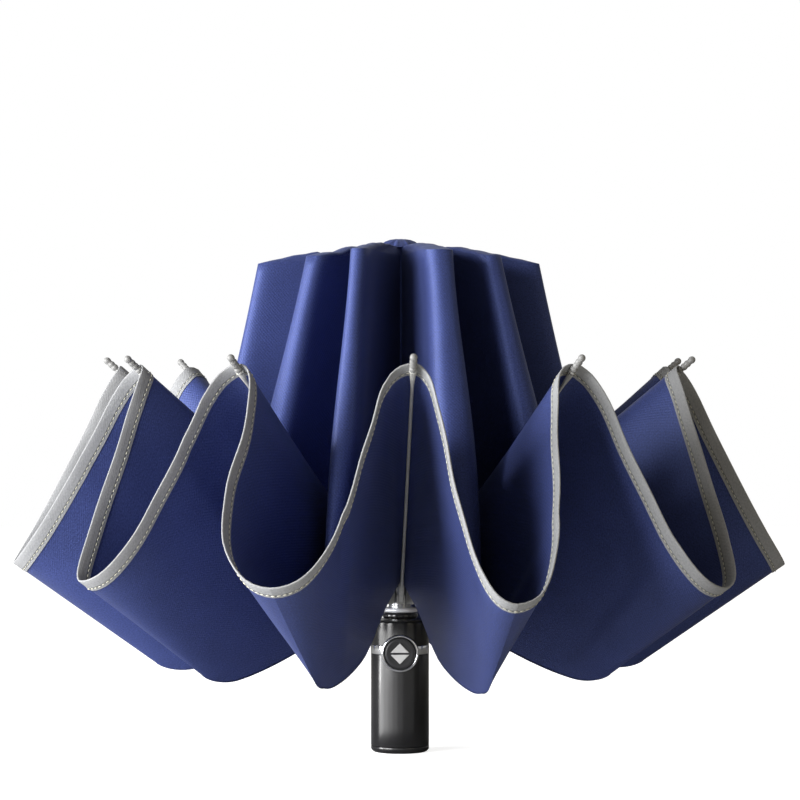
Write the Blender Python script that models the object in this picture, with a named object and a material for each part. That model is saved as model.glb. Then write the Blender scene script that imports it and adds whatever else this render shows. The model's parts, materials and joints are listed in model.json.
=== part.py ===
"""Reverse-folding umbrella, handle down, canopy gathered loosely round its shut pole.

Metres, +Z up. The origin is the centre of the handle's flat foot, and -Y faces the viewer.
Each rib has its own upright frame: x runs outward, y sideways and z up.
"""

import math

import bmesh
import bpy
from mathutils import Matrix, Vector

MM = 0.001
CLEARANCE = 0.3 * MM
OVERRUN = 1.0 * MM
ROUND_SIDES = 40
TUBE_SIDES = 24
WIRE_SIDES = 8

# Handle and its fittings
HANDLE_RADIUS = 18.0 * MM
HANDLE_HEIGHT = 82.0 * MM
HANDLE_WALL = 2.0 * MM
HANDLE_EDGE = 1.6 * MM
HANDLE_BORE = 13.0 * MM
BASE_CAP_HEIGHT = 4.0 * MM
BASE_CAP_STEP = 2.0 * MM
COLLAR_RADIUS = 11.0 * MM
COLLAR_HEIGHT = 4.0 * MM
RING_RADIUS = 11.6 * MM
RING_HEIGHT = 2.6 * MM
RING_DRAFT = 0.5 * MM
BAND_BOTTOM = 60.8 * MM
BAND_HEIGHT = 5.6 * MM
BAND_DEPTH = 0.9 * MM
BAND_PROUD = 0.15 * MM

# Push button on the front of the handle
BUTTON_HEIGHT_Z = 62.0 * MM
BUTTON_RADIUS = 9.4 * MM
BUTTON_DEPTH = 6.0 * MM
BUTTON_CROWN = 0.7 * MM
BUTTON_TRAVEL = 2.5 * MM
BEZEL_RADIUS = 11.5 * MM
BEZEL_PROUD = 1.1 * MM
BEZEL_SINK = 3.2 * MM
BUTTON_PROUD = 0.5 * MM
ARROW_WIDTH = 11.5 * MM
ARROW_RISE = 5.8 * MM
ARROW_GAP = 1.2 * MM
ARROW_THICKNESS = 0.5 * MM
SPRING_RADIUS = 3.2 * MM
SPRING_WIRE = 0.28 * MM
SPRING_TURNS = 3
SPRING_POINTS_PER_TURN = 10
LOCK_WIDTH = 13.0 * MM
LOCK_HEIGHT = 26.0 * MM
LOCK_THICKNESS = 1.8 * MM

# Height of the cloth at the crown, which the pole's top, the hub and the pleats go with
CROWN_CLOTH_HEIGHT = 312.5 * MM

# Telescopic pole, widest tube below
POLE_RADIUS = 7.0 * MM
POLE_WALL = 0.6 * MM
POLE_FOOT = 10.0 * MM
POLE_FOOT_STEP = 5.0 * MM
POLE_LOWER_TOP = 200.0 * MM
POLE_MID_TOP = 245.0 * MM
POLE_TOP_DROP = 1.5 * MM
POLE_UPPER_TOP = CROWN_CLOTH_HEIGHT - POLE_TOP_DROP

# Crown that carries the inner ribs
NOTCH_RADIUS = 9.1 * MM
NOTCH_DROP = 12.5 * MM
NOTCH_BOTTOM = CROWN_CLOTH_HEIGHT - NOTCH_DROP
NOTCH_HEIGHT = 9.0 * MM
NOTCH_SLOT_WIDTH = 2.2 * MM
NOTCH_SLOT_DEPTH = 2.6 * MM
NOTCH_WIRE_RING = 7.9 * MM
NOTCH_WIRE_RADIUS = 0.45 * MM
CAP_RADIUS = 7.0 * MM
CAP_HEIGHT = 4.5 * MM
CAP_STEM = 3.6 * MM
CAP_STEM_LENGTH = 8.0 * MM
CAP_RADIUS_SHARES = (1.0, 0.8, 0.4)
CAP_HEIGHT_SHARES = (0.35, 0.8, 1.0)
RUNNER_RADIUS = 9.0 * MM
RUNNER_BOTTOM = 112.0 * MM
RUNNER_HEIGHT = 16.0 * MM
RUNNER_GROOVE = 0.8 * MM
RUNNER_FLANGE_SHARE = 0.2
STRETCHER_WIDTH = 2.0 * MM
STRETCHER_THICKNESS = 1.5 * MM
STRETCHER_LENGTH = 84.0 * MM

# Inner ribs that hang beside the pole, each with a fork and pin at its knee
INNER_RIB_FACE = 9.4 * MM
INNER_RIB_DEPTH = 2.4 * MM
INNER_RIB_WIDTH = 2.4 * MM
INNER_RIB_WEB = 0.7 * MM
INNER_RIB_TONGUE = 1.5 * MM
KNEE_RADIUS = 16.0 * MM
KNEE_HEIGHT = 95.0 * MM
FORK_CHEEK = 0.8 * MM
FORK_REACH = 2.0 * MM
FORK_HALF_HEIGHT = 2.8 * MM
PIN_RADIUS = 0.7 * MM

# Outer ribs that fold at the knees, and their tips
OUTER_RIB_WIRE = 1.0 * MM
OUTER_RIB_LENGTH = 213.5 * MM
OUTER_RIB_LEAN = math.radians(48.6)
CLAMP_WIDTH = 2.8 * MM
CLAMP_THICKNESS = 3.4 * MM
CLAMP_LENGTH = 11.0 * MM
TIP_RADIUS = 2.4 * MM
TIP_LENGTH = 15.0 * MM
TIP_SOCKET = 3.5 * MM
TIP_COLLAR = 1.7 * MM
TIP_RIDGE = 0.3 * MM
TIP_TAPER_SHARES = (0.2, 0.3, 0.42, 0.54, 0.66, 0.76, 0.92)
TIP_ROUND_SHARES = (0.8, 0.4)
CLAMP_FOOT_SHARE = 0.4
CLAMP_HEAD_SHARE = 0.6

# Where each rib points, seen from above, in degrees from the viewer towards +X
RIB_BEARINGS_DEGREES = (2.4, 34.5, 74.4, 105.0, 149.0, 188.0, 232.0, 266.5, 298.4, 328.3)

# Canopy cloth
CLOTH = 0.8 * MM
TAPE_WIDTH = 8.0 * MM
TAPE_THICKNESS = 1.2 * MM
CROWN_HOLE = 8.2 * MM
VALLEY_RADIUS = 12.8 * MM
VALLEY_DROP = 5.5 * MM
VALLEY_TOP = CROWN_CLOTH_HEIGHT - VALLEY_DROP
VALLEY_HALF_WIDTH = 1.3 * MM
FOLD_HEIGHT = 106.0 * MM
SHOULDER_RADIUS = 88.0 * MM
SHOULDER_DROP = 10.5 * MM
SHOULDER_HEIGHT = CROWN_CLOTH_HEIGHT - SHOULDER_DROP
WAIST_RADIUS = 98.0 * MM
WAIST_HEIGHT = 240.0 * MM
LOBE_RADIUS = 143.0 * MM
LOBE_HEIGHT = 51.0 * MM
LOBE_SAG = 8.0 * MM
RIM_RADIUS = 231.0 * MM
RIM_HEIGHT = 108.0 * MM
FOLD_RELIEF = 3.0 * MM
SEAM_RELIEF = 0.6 * MM
SHEET_SPACING = 2.3 * MM
SKIRT_LIFT = TIP_COLLAR + TAPE_THICKNESS * 0.5 + 1.5 * CLEARANCE

# How far the middle of each gore's shoulder stands out and turns, gore by gore from rib 1
PLEAT_RADIUS_SHARES = (0.98, 0.92, 0.98, 0.97, 1.0, 1.0, 0.98, 1.0, 0.92, 1.0)
PLEAT_TURN_DEGREES = (-1.0, -8.0, -4.2, -4.2, -3.0, -3.5, -3.4, -7.0, 5.0, -2.4)
RIM_TURN_DEGREES = (-1.3, 0.0, -1.2, 0.0, 0.0, 0.0, -3.4, -5.4, -6.0, -3.3)
RIM_RADIUS_SHARES = (1.0, 1.0, 1.03, 1.0, 0.98, 1.0, 1.0, 1.03, 1.0, 1.0)
RIM_HEIGHT_SHARES = (0.97, 1.02, 1.08, 1.05, 1.0, 1.0, 1.0, 1.1, 1.06, 1.07)
LOBE_TURN_DEGREES = (2.0, 2.0, 0.0, 0.0, 0.0, 0.0, -3.0, -4.5, -4.0, -1.0)

# A rim's way from its tip to the middle of its gore: sideways, down and outward
RIM_SIDE_SHARES = (0.0, 0.1, 0.2, 0.29, 0.38, 0.48, 0.6, 0.78, 1.0)
RIM_DROP_SHARES = (0.0, 0.0, 0.035, 0.13, 0.32, 0.55, 0.78, 0.95, 1.0)
RIM_OUT_SHARES = (0.0, 0.02, 0.08, 0.18, 0.34, 0.55, 0.77, 0.95, 1.0)
GORE_WAY_SHARES = (0.0, 0.04, 0.1, 0.2, 0.34, 0.5, 0.68, 0.86, 1.0)
UPPER_WAY_SHARES = (0.0, 0.3, 0.62, 0.88, 1.0)
SHOULDER_ROUNDING = 1.12
LOBE_ROUNDING = 1.5
SAG_LEAN = 0.5
SKIRT_OPENING_SHARE = 0.05
SKIRT_SPACING_SHARE = 0.1
SKIRT_SPACING_POWER = 3
UPPER_ROWS = 4
SKIRT_ROWS = 6

CREASE_ANGLE = math.radians(35.0)
PLEAT_CREASE_ANGLE = math.radians(50.0)


def remove_everything():
    """Empty the file of objects."""
    for obj in list(bpy.data.objects):
        bpy.data.objects.remove(obj, do_unlink=True)


def material(name, colour, roughness, metallic=0.0):
    """Make a Principled material of one colour."""
    made = bpy.data.materials.new(name)
    made.use_nodes = True
    shader = made.node_tree.nodes["Principled BSDF"]
    shader.inputs["Base Color"].default_value = (*colour, 1.0)
    shader.inputs["Roughness"].default_value = roughness
    shader.inputs["Metallic"].default_value = metallic
    return made


def place(name, mesh_builder, finish, matrix=None, crease=CREASE_ANGLE):
    """Turn a bmesh into a named, shaded object at a place."""
    mesh = bpy.data.meshes.new(name)
    bmesh.ops.recalc_face_normals(mesh_builder, faces=mesh_builder.faces)
    mesh_builder.to_mesh(mesh)
    mesh_builder.free()
    mesh.shade_smooth()
    mesh.set_sharp_from_angle(angle=crease)
    mesh.materials.append(finish)
    obj = bpy.data.objects.new(name, mesh)
    bpy.context.scene.collection.objects.link(obj)
    if matrix is not None:
        obj.matrix_world = matrix
    return obj


def cutter(name, mesh_builder, matrix=None):
    """Make a hidden tool for a Boolean."""
    obj = place(name, mesh_builder, None, matrix)
    obj.hide_render = True
    obj.display_type = "WIRE"
    return obj


def boolean(target, tool, operation="DIFFERENCE"):
    """Cut or join a tool with the exact solver."""
    change = target.modifiers.new(tool.name, "BOOLEAN")
    change.operation = operation
    change.solver = "EXACT"
    change.object = tool


def turned(outline, sides):
    """Spin a closed outline of (radius, height) points round the z axis."""
    builder = bmesh.new()
    corners = [builder.verts.new((radius, 0.0, height)) for radius, height in outline]
    edges = [builder.edges.new((a, b)) for a, b in zip(corners, corners[1:] + corners[:1])]
    bmesh.ops.spin(
        builder,
        geom=corners + edges,
        cent=(0.0, 0.0, 0.0),
        axis=(0.0, 0.0, 1.0),
        angle=2.0 * math.pi,
        steps=sides,
    )
    bmesh.ops.remove_doubles(builder, verts=builder.verts, dist=CLEARANCE * 0.01)
    return builder


def turned_solid(outline, sides):
    """Spin an open outline whose two ends lie on the z axis."""
    builder = bmesh.new()
    corners = [builder.verts.new((radius, 0.0, height)) for radius, height in outline]
    edges = [builder.edges.new(pair) for pair in zip(corners, corners[1:])]
    bmesh.ops.spin(
        builder,
        geom=corners + edges,
        cent=(0.0, 0.0, 0.0),
        axis=(0.0, 0.0, 1.0),
        angle=2.0 * math.pi,
        steps=sides,
    )
    bmesh.ops.remove_doubles(builder, verts=builder.verts, dist=CLEARANCE * 0.01)
    return builder


def box(low, high):
    """A box between two corners."""
    builder = bmesh.new()
    bmesh.ops.create_cube(builder, size=1.0)
    size = Vector(high) - Vector(low)
    middle = (Vector(high) + Vector(low)) * 0.5
    bmesh.ops.scale(builder, vec=size, verts=builder.verts)
    bmesh.ops.translate(builder, vec=middle, verts=builder.verts)
    return builder


def rod(radius, length, sides):
    """A capped cylinder that stands on the origin."""
    return turned_solid([(0.0, 0.0), (radius, 0.0), (radius, length), (0.0, length)], sides)


def prism(outline, low, high):
    """Push a closed (x, z) outline along y, from low to high."""
    builder = bmesh.new()
    face = builder.faces.new([builder.verts.new((x, low, z)) for x, z in outline])
    pushed = bmesh.ops.extrude_face_region(builder, geom=[face])
    moved = [item for item in pushed["geom"] if isinstance(item, bmesh.types.BMVert)]
    bmesh.ops.translate(builder, vec=(0.0, high - low, 0.0), verts=moved)
    return builder


def tube(name, radius, wall, bottom, top, finish, sides=TUBE_SIDES):
    """A round tube, open at both ends."""
    outline = [(radius, top), (radius, bottom), (radius - wall, bottom), (radius - wall, top)]
    return place(name, turned(outline, sides), finish)


def rib_matrix(index):
    """The frame of one rib: x outward along its bearing, z up."""
    bearing = math.radians(RIB_BEARINGS_DEGREES[index])
    return Matrix.Rotation(bearing - math.pi / 2.0, 4, "Z")


def bearing_point(degrees, radius, height):
    """A point at a bearing from the viewer, a radius and a height."""
    angle = math.radians(degrees) - math.pi / 2.0
    return Vector((radius * math.cos(angle), radius * math.sin(angle), height))


def front_matrix(depth):
    """The frame of the button: its z runs out of the handle's front, from a depth on -Y."""
    turn = Matrix.Rotation(math.pi / 2.0, 4, "X")
    return Matrix.Translation((0.0, -depth, BUTTON_HEIGHT_Z)) @ turn


def make_materials():
    """All finishes, by name."""
    return {
        "handle": material("handle_black", (0.012, 0.012, 0.013), 0.32),
        "cap": material("cap_black", (0.02, 0.02, 0.021), 0.5),
        "collar": material("collar_black", (0.01, 0.01, 0.011), 0.2),
        "chrome": material("chrome", (0.85, 0.86, 0.88), 0.08, 1.0),
        "ring": material("ring_white_metal", (0.8, 0.81, 0.84), 0.15, 1.0),
        "button": material("button_black", (0.03, 0.03, 0.032), 0.35),
        "arrow": material("arrow_grey", (0.55, 0.55, 0.56), 0.5),
        "steel": material("spring_steel", (0.5, 0.5, 0.52), 0.3, 1.0),
        "pole": material("pole_steel", (0.6, 0.6, 0.62), 0.25, 1.0),
        "plastic": material("knee_grey_plastic", (0.3, 0.3, 0.29), 0.55),
        "lock": material("lock_plastic", (0.05, 0.05, 0.055), 0.5),
        "wire": material("rib_wire", (0.35, 0.36, 0.38), 0.3, 0.9),
        "tip": material("tip_pale_plastic", (0.5, 0.5, 0.5), 0.5),
        "cloth": material("canopy_blue", (0.045, 0.06, 0.3), 0.55),
        "tape": material("tape_grey", (0.28, 0.28, 0.28), 0.75),
    }


def make_handle(finishes):
    """Shell, base cap, collar, bright ring and the band round the shell."""
    bore = HANDLE_RADIUS - HANDLE_WALL
    groove = HANDLE_RADIUS - BAND_DEPTH
    band_top = BAND_BOTTOM + BAND_HEIGHT
    neck = POLE_RADIUS + CLEARANCE
    shelf = HANDLE_HEIGHT - HANDLE_WALL
    cap_top = BASE_CAP_HEIGHT
    outline = [
        (HANDLE_RADIUS, shelf + HANDLE_WALL - HANDLE_EDGE * 0.5),
        (HANDLE_RADIUS, band_top),
        (groove, band_top),
        (groove, BAND_BOTTOM),
        (HANDLE_RADIUS, BAND_BOTTOM),
        (HANDLE_RADIUS, cap_top),
        (bore, cap_top),
        (bore, shelf),
        (neck, shelf),
        (neck, HANDLE_HEIGHT),
        (HANDLE_RADIUS - HANDLE_EDGE * 0.5, HANDLE_HEIGHT),
    ]
    shell = place("handle_shell", turned(outline, ROUND_SIDES), finishes["handle"])
    hole_radius = BEZEL_RADIUS + CLEARANCE
    opening = cutter(
        "button_opening", rod(hole_radius, HANDLE_RADIUS, ROUND_SIDES), front_matrix(bore - BEZEL_SINK)
    )
    boolean(shell, opening)
    edge = HANDLE_EDGE
    arc = [
        (HANDLE_RADIUS - edge + edge * math.sin(step), edge - edge * math.cos(step))
        for step in (0.0, math.pi / 6.0, math.pi / 3.0, math.pi / 2.0)
    ]
    socket = POLE_RADIUS + CLEARANCE
    cap_outline = [
        (0.0, 0.0),
        *arc,
        (HANDLE_RADIUS, cap_top - CLEARANCE),
        (bore - CLEARANCE, cap_top - CLEARANCE),
        (bore - CLEARANCE, cap_top + BASE_CAP_STEP),
        (socket + POLE_FOOT_STEP, cap_top + BASE_CAP_STEP),
        (socket + POLE_FOOT_STEP, POLE_FOOT + POLE_FOOT_STEP),
        (socket, POLE_FOOT + POLE_FOOT_STEP),
        (socket, POLE_FOOT - CLEARANCE),
        (0.0, POLE_FOOT - CLEARANCE),
    ]
    place("base_cap", turned_solid(cap_outline, ROUND_SIDES), finishes["cap"])
    collar_bottom = HANDLE_HEIGHT + CLEARANCE
    collar_top = collar_bottom + COLLAR_HEIGHT
    collar = [
        (COLLAR_RADIUS, collar_top),
        (COLLAR_RADIUS, collar_bottom),
        (neck, collar_bottom),
        (neck, collar_top),
    ]
    place("top_collar", turned(collar, ROUND_SIDES), finishes["collar"])
    ring_bottom = collar_top + CLEARANCE
    ring = [
        (RING_RADIUS - RING_DRAFT, ring_bottom + RING_HEIGHT),
        (RING_RADIUS, ring_bottom + RING_HEIGHT * 0.5),
        (RING_RADIUS - RING_DRAFT, ring_bottom),
        (neck, ring_bottom),
        (neck, ring_bottom + RING_HEIGHT),
    ]
    place("collar_ring", turned(ring, ROUND_SIDES), finishes["ring"])
    inner = groove + CLEARANCE
    band = [
        (HANDLE_RADIUS + BAND_PROUD, band_top - CLEARANCE),
        (HANDLE_RADIUS + BAND_PROUD, BAND_BOTTOM + CLEARANCE),
        (inner, BAND_BOTTOM + CLEARANCE),
        (inner, band_top - CLEARANCE),
    ]
    trim = place("trim_band", turned(band, ROUND_SIDES), finishes["chrome"])
    boolean(trim, opening)


def make_button(finishes):
    """Bezel, push button with two arrows, its spring and the lock body behind it."""
    front = HANDLE_RADIUS + BEZEL_PROUD
    seat = HANDLE_RADIUS - BEZEL_SINK
    bore = BUTTON_RADIUS + CLEARANCE
    chamfer = (BEZEL_RADIUS - bore) * 0.3
    bezel = [
        (BEZEL_RADIUS, front - seat - chamfer),
        (BEZEL_RADIUS, 0.0),
        (bore, 0.0),
        (bore, front - seat - chamfer),
        (bore + chamfer, front - seat),
        (BEZEL_RADIUS - chamfer, front - seat),
    ]
    place("button_bezel", turned(bezel, ROUND_SIDES), finishes["chrome"], front_matrix(seat))
    face = front + BUTTON_PROUD - BUTTON_CROWN
    back = face - BUTTON_DEPTH
    length = BUTTON_DEPTH
    cap = [
        (0.0, 0.0),
        (BUTTON_RADIUS, 0.0),
        (BUTTON_RADIUS, length - BUTTON_CROWN),
        (BUTTON_RADIUS - BUTTON_CROWN, length),
        (0.0, length),
    ]
    place("button_cap", turned_solid(cap, ROUND_SIDES), finishes["button"], front_matrix(back))
    for name, sign in (("arrow_up", 1.0), ("arrow_down", -1.0)):
        low = sign * ARROW_GAP * 0.5
        high = sign * (ARROW_GAP * 0.5 + ARROW_RISE)
        corners = [(-ARROW_WIDTH * 0.5, low), (ARROW_WIDTH * 0.5, low), (0.0, high)]
        arrow = bmesh.new()
        base = arrow.faces.new([arrow.verts.new((x, y, 0.0)) for x, y in corners])
        pushed = bmesh.ops.extrude_face_region(arrow, geom=[base])
        moved = [item for item in pushed["geom"] if isinstance(item, bmesh.types.BMVert)]
        bmesh.ops.translate(arrow, vec=(0.0, 0.0, ARROW_THICKNESS), verts=moved)
        place(name, arrow, finishes["arrow"], front_matrix(face + CLEARANCE))
    lock_front = back - BUTTON_TRAVEL - LOCK_THICKNESS
    lock_back = POLE_RADIUS + CLEARANCE
    half = LOCK_WIDTH * 0.5
    low = BUTTON_HEIGHT_Z - LOCK_HEIGHT * 0.5
    high = BUTTON_HEIGHT_Z + LOCK_HEIGHT * 0.5
    lock_front = max(lock_front, lock_back + LOCK_THICKNESS * 0.5)
    lock_body = box((-half, -lock_front, low), (half, -lock_back, high))
    place("lock_body", lock_body, finishes["lock"])
    return back, lock_front


def make_button_spring(back, lock_front, finishes):
    """A coil between the lock body and the button's back."""
    room = back - lock_front - 2.0 * CLEARANCE - 2.0 * SPRING_WIRE
    curve = bpy.data.curves.new("button_spring", "CURVE")
    curve.dimensions = "3D"
    curve.bevel_depth = SPRING_WIRE
    curve.bevel_resolution = 1
    curve.use_fill_caps = True
    path = curve.splines.new("POLY")
    count = SPRING_TURNS * SPRING_POINTS_PER_TURN
    path.points.add(count)
    for step, point in enumerate(path.points):
        share = step / count
        angle = share * SPRING_TURNS * 2.0 * math.pi
        x = SPRING_RADIUS * math.cos(angle)
        y = SPRING_RADIUS * math.sin(angle)
        point.co = (x, y, share * room, 1.0)
    curve.materials.append(finishes["steel"])
    spring = bpy.data.objects.new("button_spring", curve)
    bpy.context.scene.collection.objects.link(spring)
    spring.matrix_world = front_matrix(lock_front + CLEARANCE + SPRING_WIRE)
    least_gap = room / SPRING_TURNS - 2.0 * SPRING_WIRE
    print("button spring: least gap between turns", round(least_gap / MM, 3), "mm")


def make_pole(finishes):
    """Three nested tubes."""
    step = POLE_WALL + CLEARANCE
    tube("pole_lower", POLE_RADIUS, POLE_WALL, POLE_FOOT, POLE_LOWER_TOP, finishes["pole"])
    tube("pole_mid", POLE_RADIUS - step, POLE_WALL, POLE_FOOT, POLE_MID_TOP, finishes["pole"])
    tube("pole_upper", POLE_RADIUS - 2.0 * step, POLE_WALL, POLE_FOOT, POLE_UPPER_TOP, finishes["pole"])


def make_crown(finishes):
    """Slotted hub on the top tube, its ring wire, the end cap and the runner with its stretchers."""
    upper_radius = POLE_RADIUS - 2.0 * (POLE_WALL + CLEARANCE)
    bore = upper_radius + CLEARANCE
    top = NOTCH_BOTTOM + NOTCH_HEIGHT
    hub = [
        (NOTCH_RADIUS, top),
        (NOTCH_RADIUS, NOTCH_BOTTOM),
        (bore, NOTCH_BOTTOM),
        (bore, top),
    ]
    notch = place("crown_notch", turned(hub, ROUND_SIDES), finishes["lock"])
    slots = bmesh.new()
    half = NOTCH_SLOT_WIDTH * 0.5
    for index in range(len(RIB_BEARINGS_DEGREES)):
        low = (NOTCH_RADIUS - NOTCH_SLOT_DEPTH, -half, NOTCH_BOTTOM - OVERRUN)
        high = (NOTCH_RADIUS + OVERRUN, half, top - NOTCH_SLOT_WIDTH)
        one = box(low, high)
        bmesh.ops.transform(one, matrix=rib_matrix(index), verts=one.verts)
        joined(slots, one)
    boolean(notch, cutter("notch_slots", slots))
    wire_height = NOTCH_BOTTOM + NOTCH_HEIGHT * 0.5
    groove = NOTCH_WIRE_RADIUS + CLEARANCE
    groove_outline = [
        (NOTCH_WIRE_RING + groove, wire_height + groove),
        (NOTCH_WIRE_RING + groove, wire_height - groove),
        (NOTCH_WIRE_RING - groove, wire_height - groove),
        (NOTCH_WIRE_RING - groove, wire_height + groove),
    ]
    boolean(notch, cutter("notch_wire_groove", turned(groove_outline, ROUND_SIDES)))
    section = [
        (
            NOTCH_WIRE_RING + NOTCH_WIRE_RADIUS * math.cos(corner * math.pi / 3.0),
            wire_height - NOTCH_WIRE_RADIUS * math.sin(corner * math.pi / 3.0),
        )
        for corner in range(6)
    ]
    place("notch_wire", turned(section, TUBE_SIDES), finishes["steel"])
    stem = upper_radius - POLE_WALL - CLEARANCE
    cap_bottom = CROWN_CLOTH_HEIGHT + CLOTH * 0.5 + CLEARANCE
    cap = [
        (0.0, cap_bottom - CAP_STEM_LENGTH),
        (stem, cap_bottom - CAP_STEM_LENGTH),
        (stem, cap_bottom),
        (CAP_RADIUS, cap_bottom),
    ]
    for wide, high in zip(CAP_RADIUS_SHARES, CAP_HEIGHT_SHARES):
        cap.append((CAP_RADIUS * wide, cap_bottom + CAP_HEIGHT * high))
    cap.append((0.0, cap_bottom + CAP_HEIGHT))
    place("crown_cap", turned_solid(cap, TUBE_SIDES), finishes["cloth"])
    bore = POLE_RADIUS + CLEARANCE
    runner_top = RUNNER_BOTTOM + RUNNER_HEIGHT
    flange = RUNNER_HEIGHT * RUNNER_FLANGE_SHARE
    runner = [
        (RUNNER_RADIUS, runner_top),
        (RUNNER_RADIUS, runner_top - flange),
        (RUNNER_RADIUS - RUNNER_GROOVE, runner_top - flange),
        (RUNNER_RADIUS - RUNNER_GROOVE, RUNNER_BOTTOM + flange),
        (RUNNER_RADIUS, RUNNER_BOTTOM + flange),
        (RUNNER_RADIUS, RUNNER_BOTTOM),
        (bore, RUNNER_BOTTOM),
        (bore, runner_top),
    ]
    carrier = place("runner", turned(runner, TUBE_SIDES), finishes["lock"])
    stretchers = bmesh.new()
    bottom = runner_top - flange * 0.5
    outer = INNER_RIB_FACE - CLEARANCE
    half = STRETCHER_WIDTH * 0.5
    for index in range(len(RIB_BEARINGS_DEGREES)):
        low = (outer - STRETCHER_THICKNESS, -half, bottom)
        high = (outer, half, bottom + STRETCHER_LENGTH)
        one = box(low, high)
        bmesh.ops.transform(one, matrix=rib_matrix(index), verts=one.verts)
        joined(stretchers, one)
    boolean(carrier, cutter("stretchers", stretchers), "UNION")


def joined(target, builder):
    """Add one bmesh to another and free it."""
    mesh = bpy.data.meshes.new("piece")
    builder.to_mesh(mesh)
    builder.free()
    target.from_mesh(mesh)
    bpy.data.meshes.remove(mesh)


def make_inner_ribs(finishes):
    """Channel ribs from the hub to the knees, each with a fork and a pin."""
    tongue_half = INNER_RIB_TONGUE * 0.5
    half = INNER_RIB_WIDTH * 0.5
    outer = INNER_RIB_FACE + INNER_RIB_DEPTH
    wire_height = NOTCH_BOTTOM + NOTCH_HEIGHT * 0.5
    head_inner = NOTCH_RADIUS - NOTCH_SLOT_DEPTH + CLEARANCE
    head_top = wire_height + NOTCH_WIRE_RADIUS + 2.0 * CLEARANCE
    rib_top = NOTCH_BOTTOM - CLEARANCE
    fork_low = KNEE_HEIGHT - FORK_HALF_HEIGHT
    fork_high = KNEE_HEIGHT + FORK_HALF_HEIGHT
    cheek_in = CLAMP_WIDTH * 0.5 + CLEARANCE
    cheek_out = cheek_in + FORK_CHEEK
    clamp_swing = math.hypot(CLAMP_THICKNESS * 0.5, CLAMP_THICKNESS * 0.5)
    gap_start = KNEE_RADIUS - clamp_swing - CLEARANCE
    for index in range(len(RIB_BEARINGS_DEGREES)):
        name = f"inner_rib_{index + 1:02d}"
        matrix = rib_matrix(index)
        channel = [
            (INNER_RIB_FACE, fork_low),
            (outer, fork_low),
            (outer, wire_height),
            (outer - INNER_RIB_WEB, wire_height + INNER_RIB_WEB),
            (INNER_RIB_FACE, wire_height),
        ]
        rib = place(name, prism(channel, -half, half), finishes["wire"], matrix)
        head = box(
            (head_inner, -tongue_half, wire_height - NOTCH_SLOT_WIDTH),
            (INNER_RIB_FACE + INNER_RIB_WEB, tongue_half, head_top),
        )
        boolean(rib, cutter(f"{name}_head", head, matrix), "UNION")
        block = box(
            (outer - INNER_RIB_WEB, -cheek_out, fork_low),
            (KNEE_RADIUS + FORK_REACH, cheek_out, fork_high),
        )
        fork = cutter(f"{name}_fork", block, matrix)
        slot = box(
            (gap_start, -cheek_in, fork_low - OVERRUN),
            (KNEE_RADIUS + FORK_REACH + OVERRUN, cheek_in, fork_high + OVERRUN),
        )
        boolean(rib, fork, "UNION")
        boolean(rib, cutter(f"{name}_slot", slot, matrix))
        turn = Matrix.Rotation(-math.pi / 2.0, 4, "X")
        pin_start = Matrix.Translation((KNEE_RADIUS, -cheek_in - FORK_CHEEK * 0.5, KNEE_HEIGHT))
        pin = cutter(
            f"{name}_pin",
            rod(PIN_RADIUS, 2.0 * cheek_in + FORK_CHEEK, WIRE_SIDES),
            matrix @ pin_start @ turn,
        )
        boolean(rib, pin, "UNION")
        hole_radius = NOTCH_WIRE_RADIUS + CLEARANCE
        hole_start = Matrix.Translation((NOTCH_WIRE_RING, -half - OVERRUN, wire_height))
        hole = cutter(
            f"{name}_hole",
            rod(hole_radius, INNER_RIB_WIDTH + 2.0 * OVERRUN, WIRE_SIDES),
            matrix @ hole_start @ turn,
        )
        boolean(rib, hole)


def rib_line(distance, lift=0.0):
    """A point of the outer rib's own plane, at a distance from the knee and above the wire."""
    x = KNEE_RADIUS + distance * math.sin(OUTER_RIB_LEAN) - lift * math.cos(OUTER_RIB_LEAN)
    z = KNEE_HEIGHT + distance * math.cos(OUTER_RIB_LEAN) + lift * math.sin(OUTER_RIB_LEAN)
    return x, z


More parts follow.
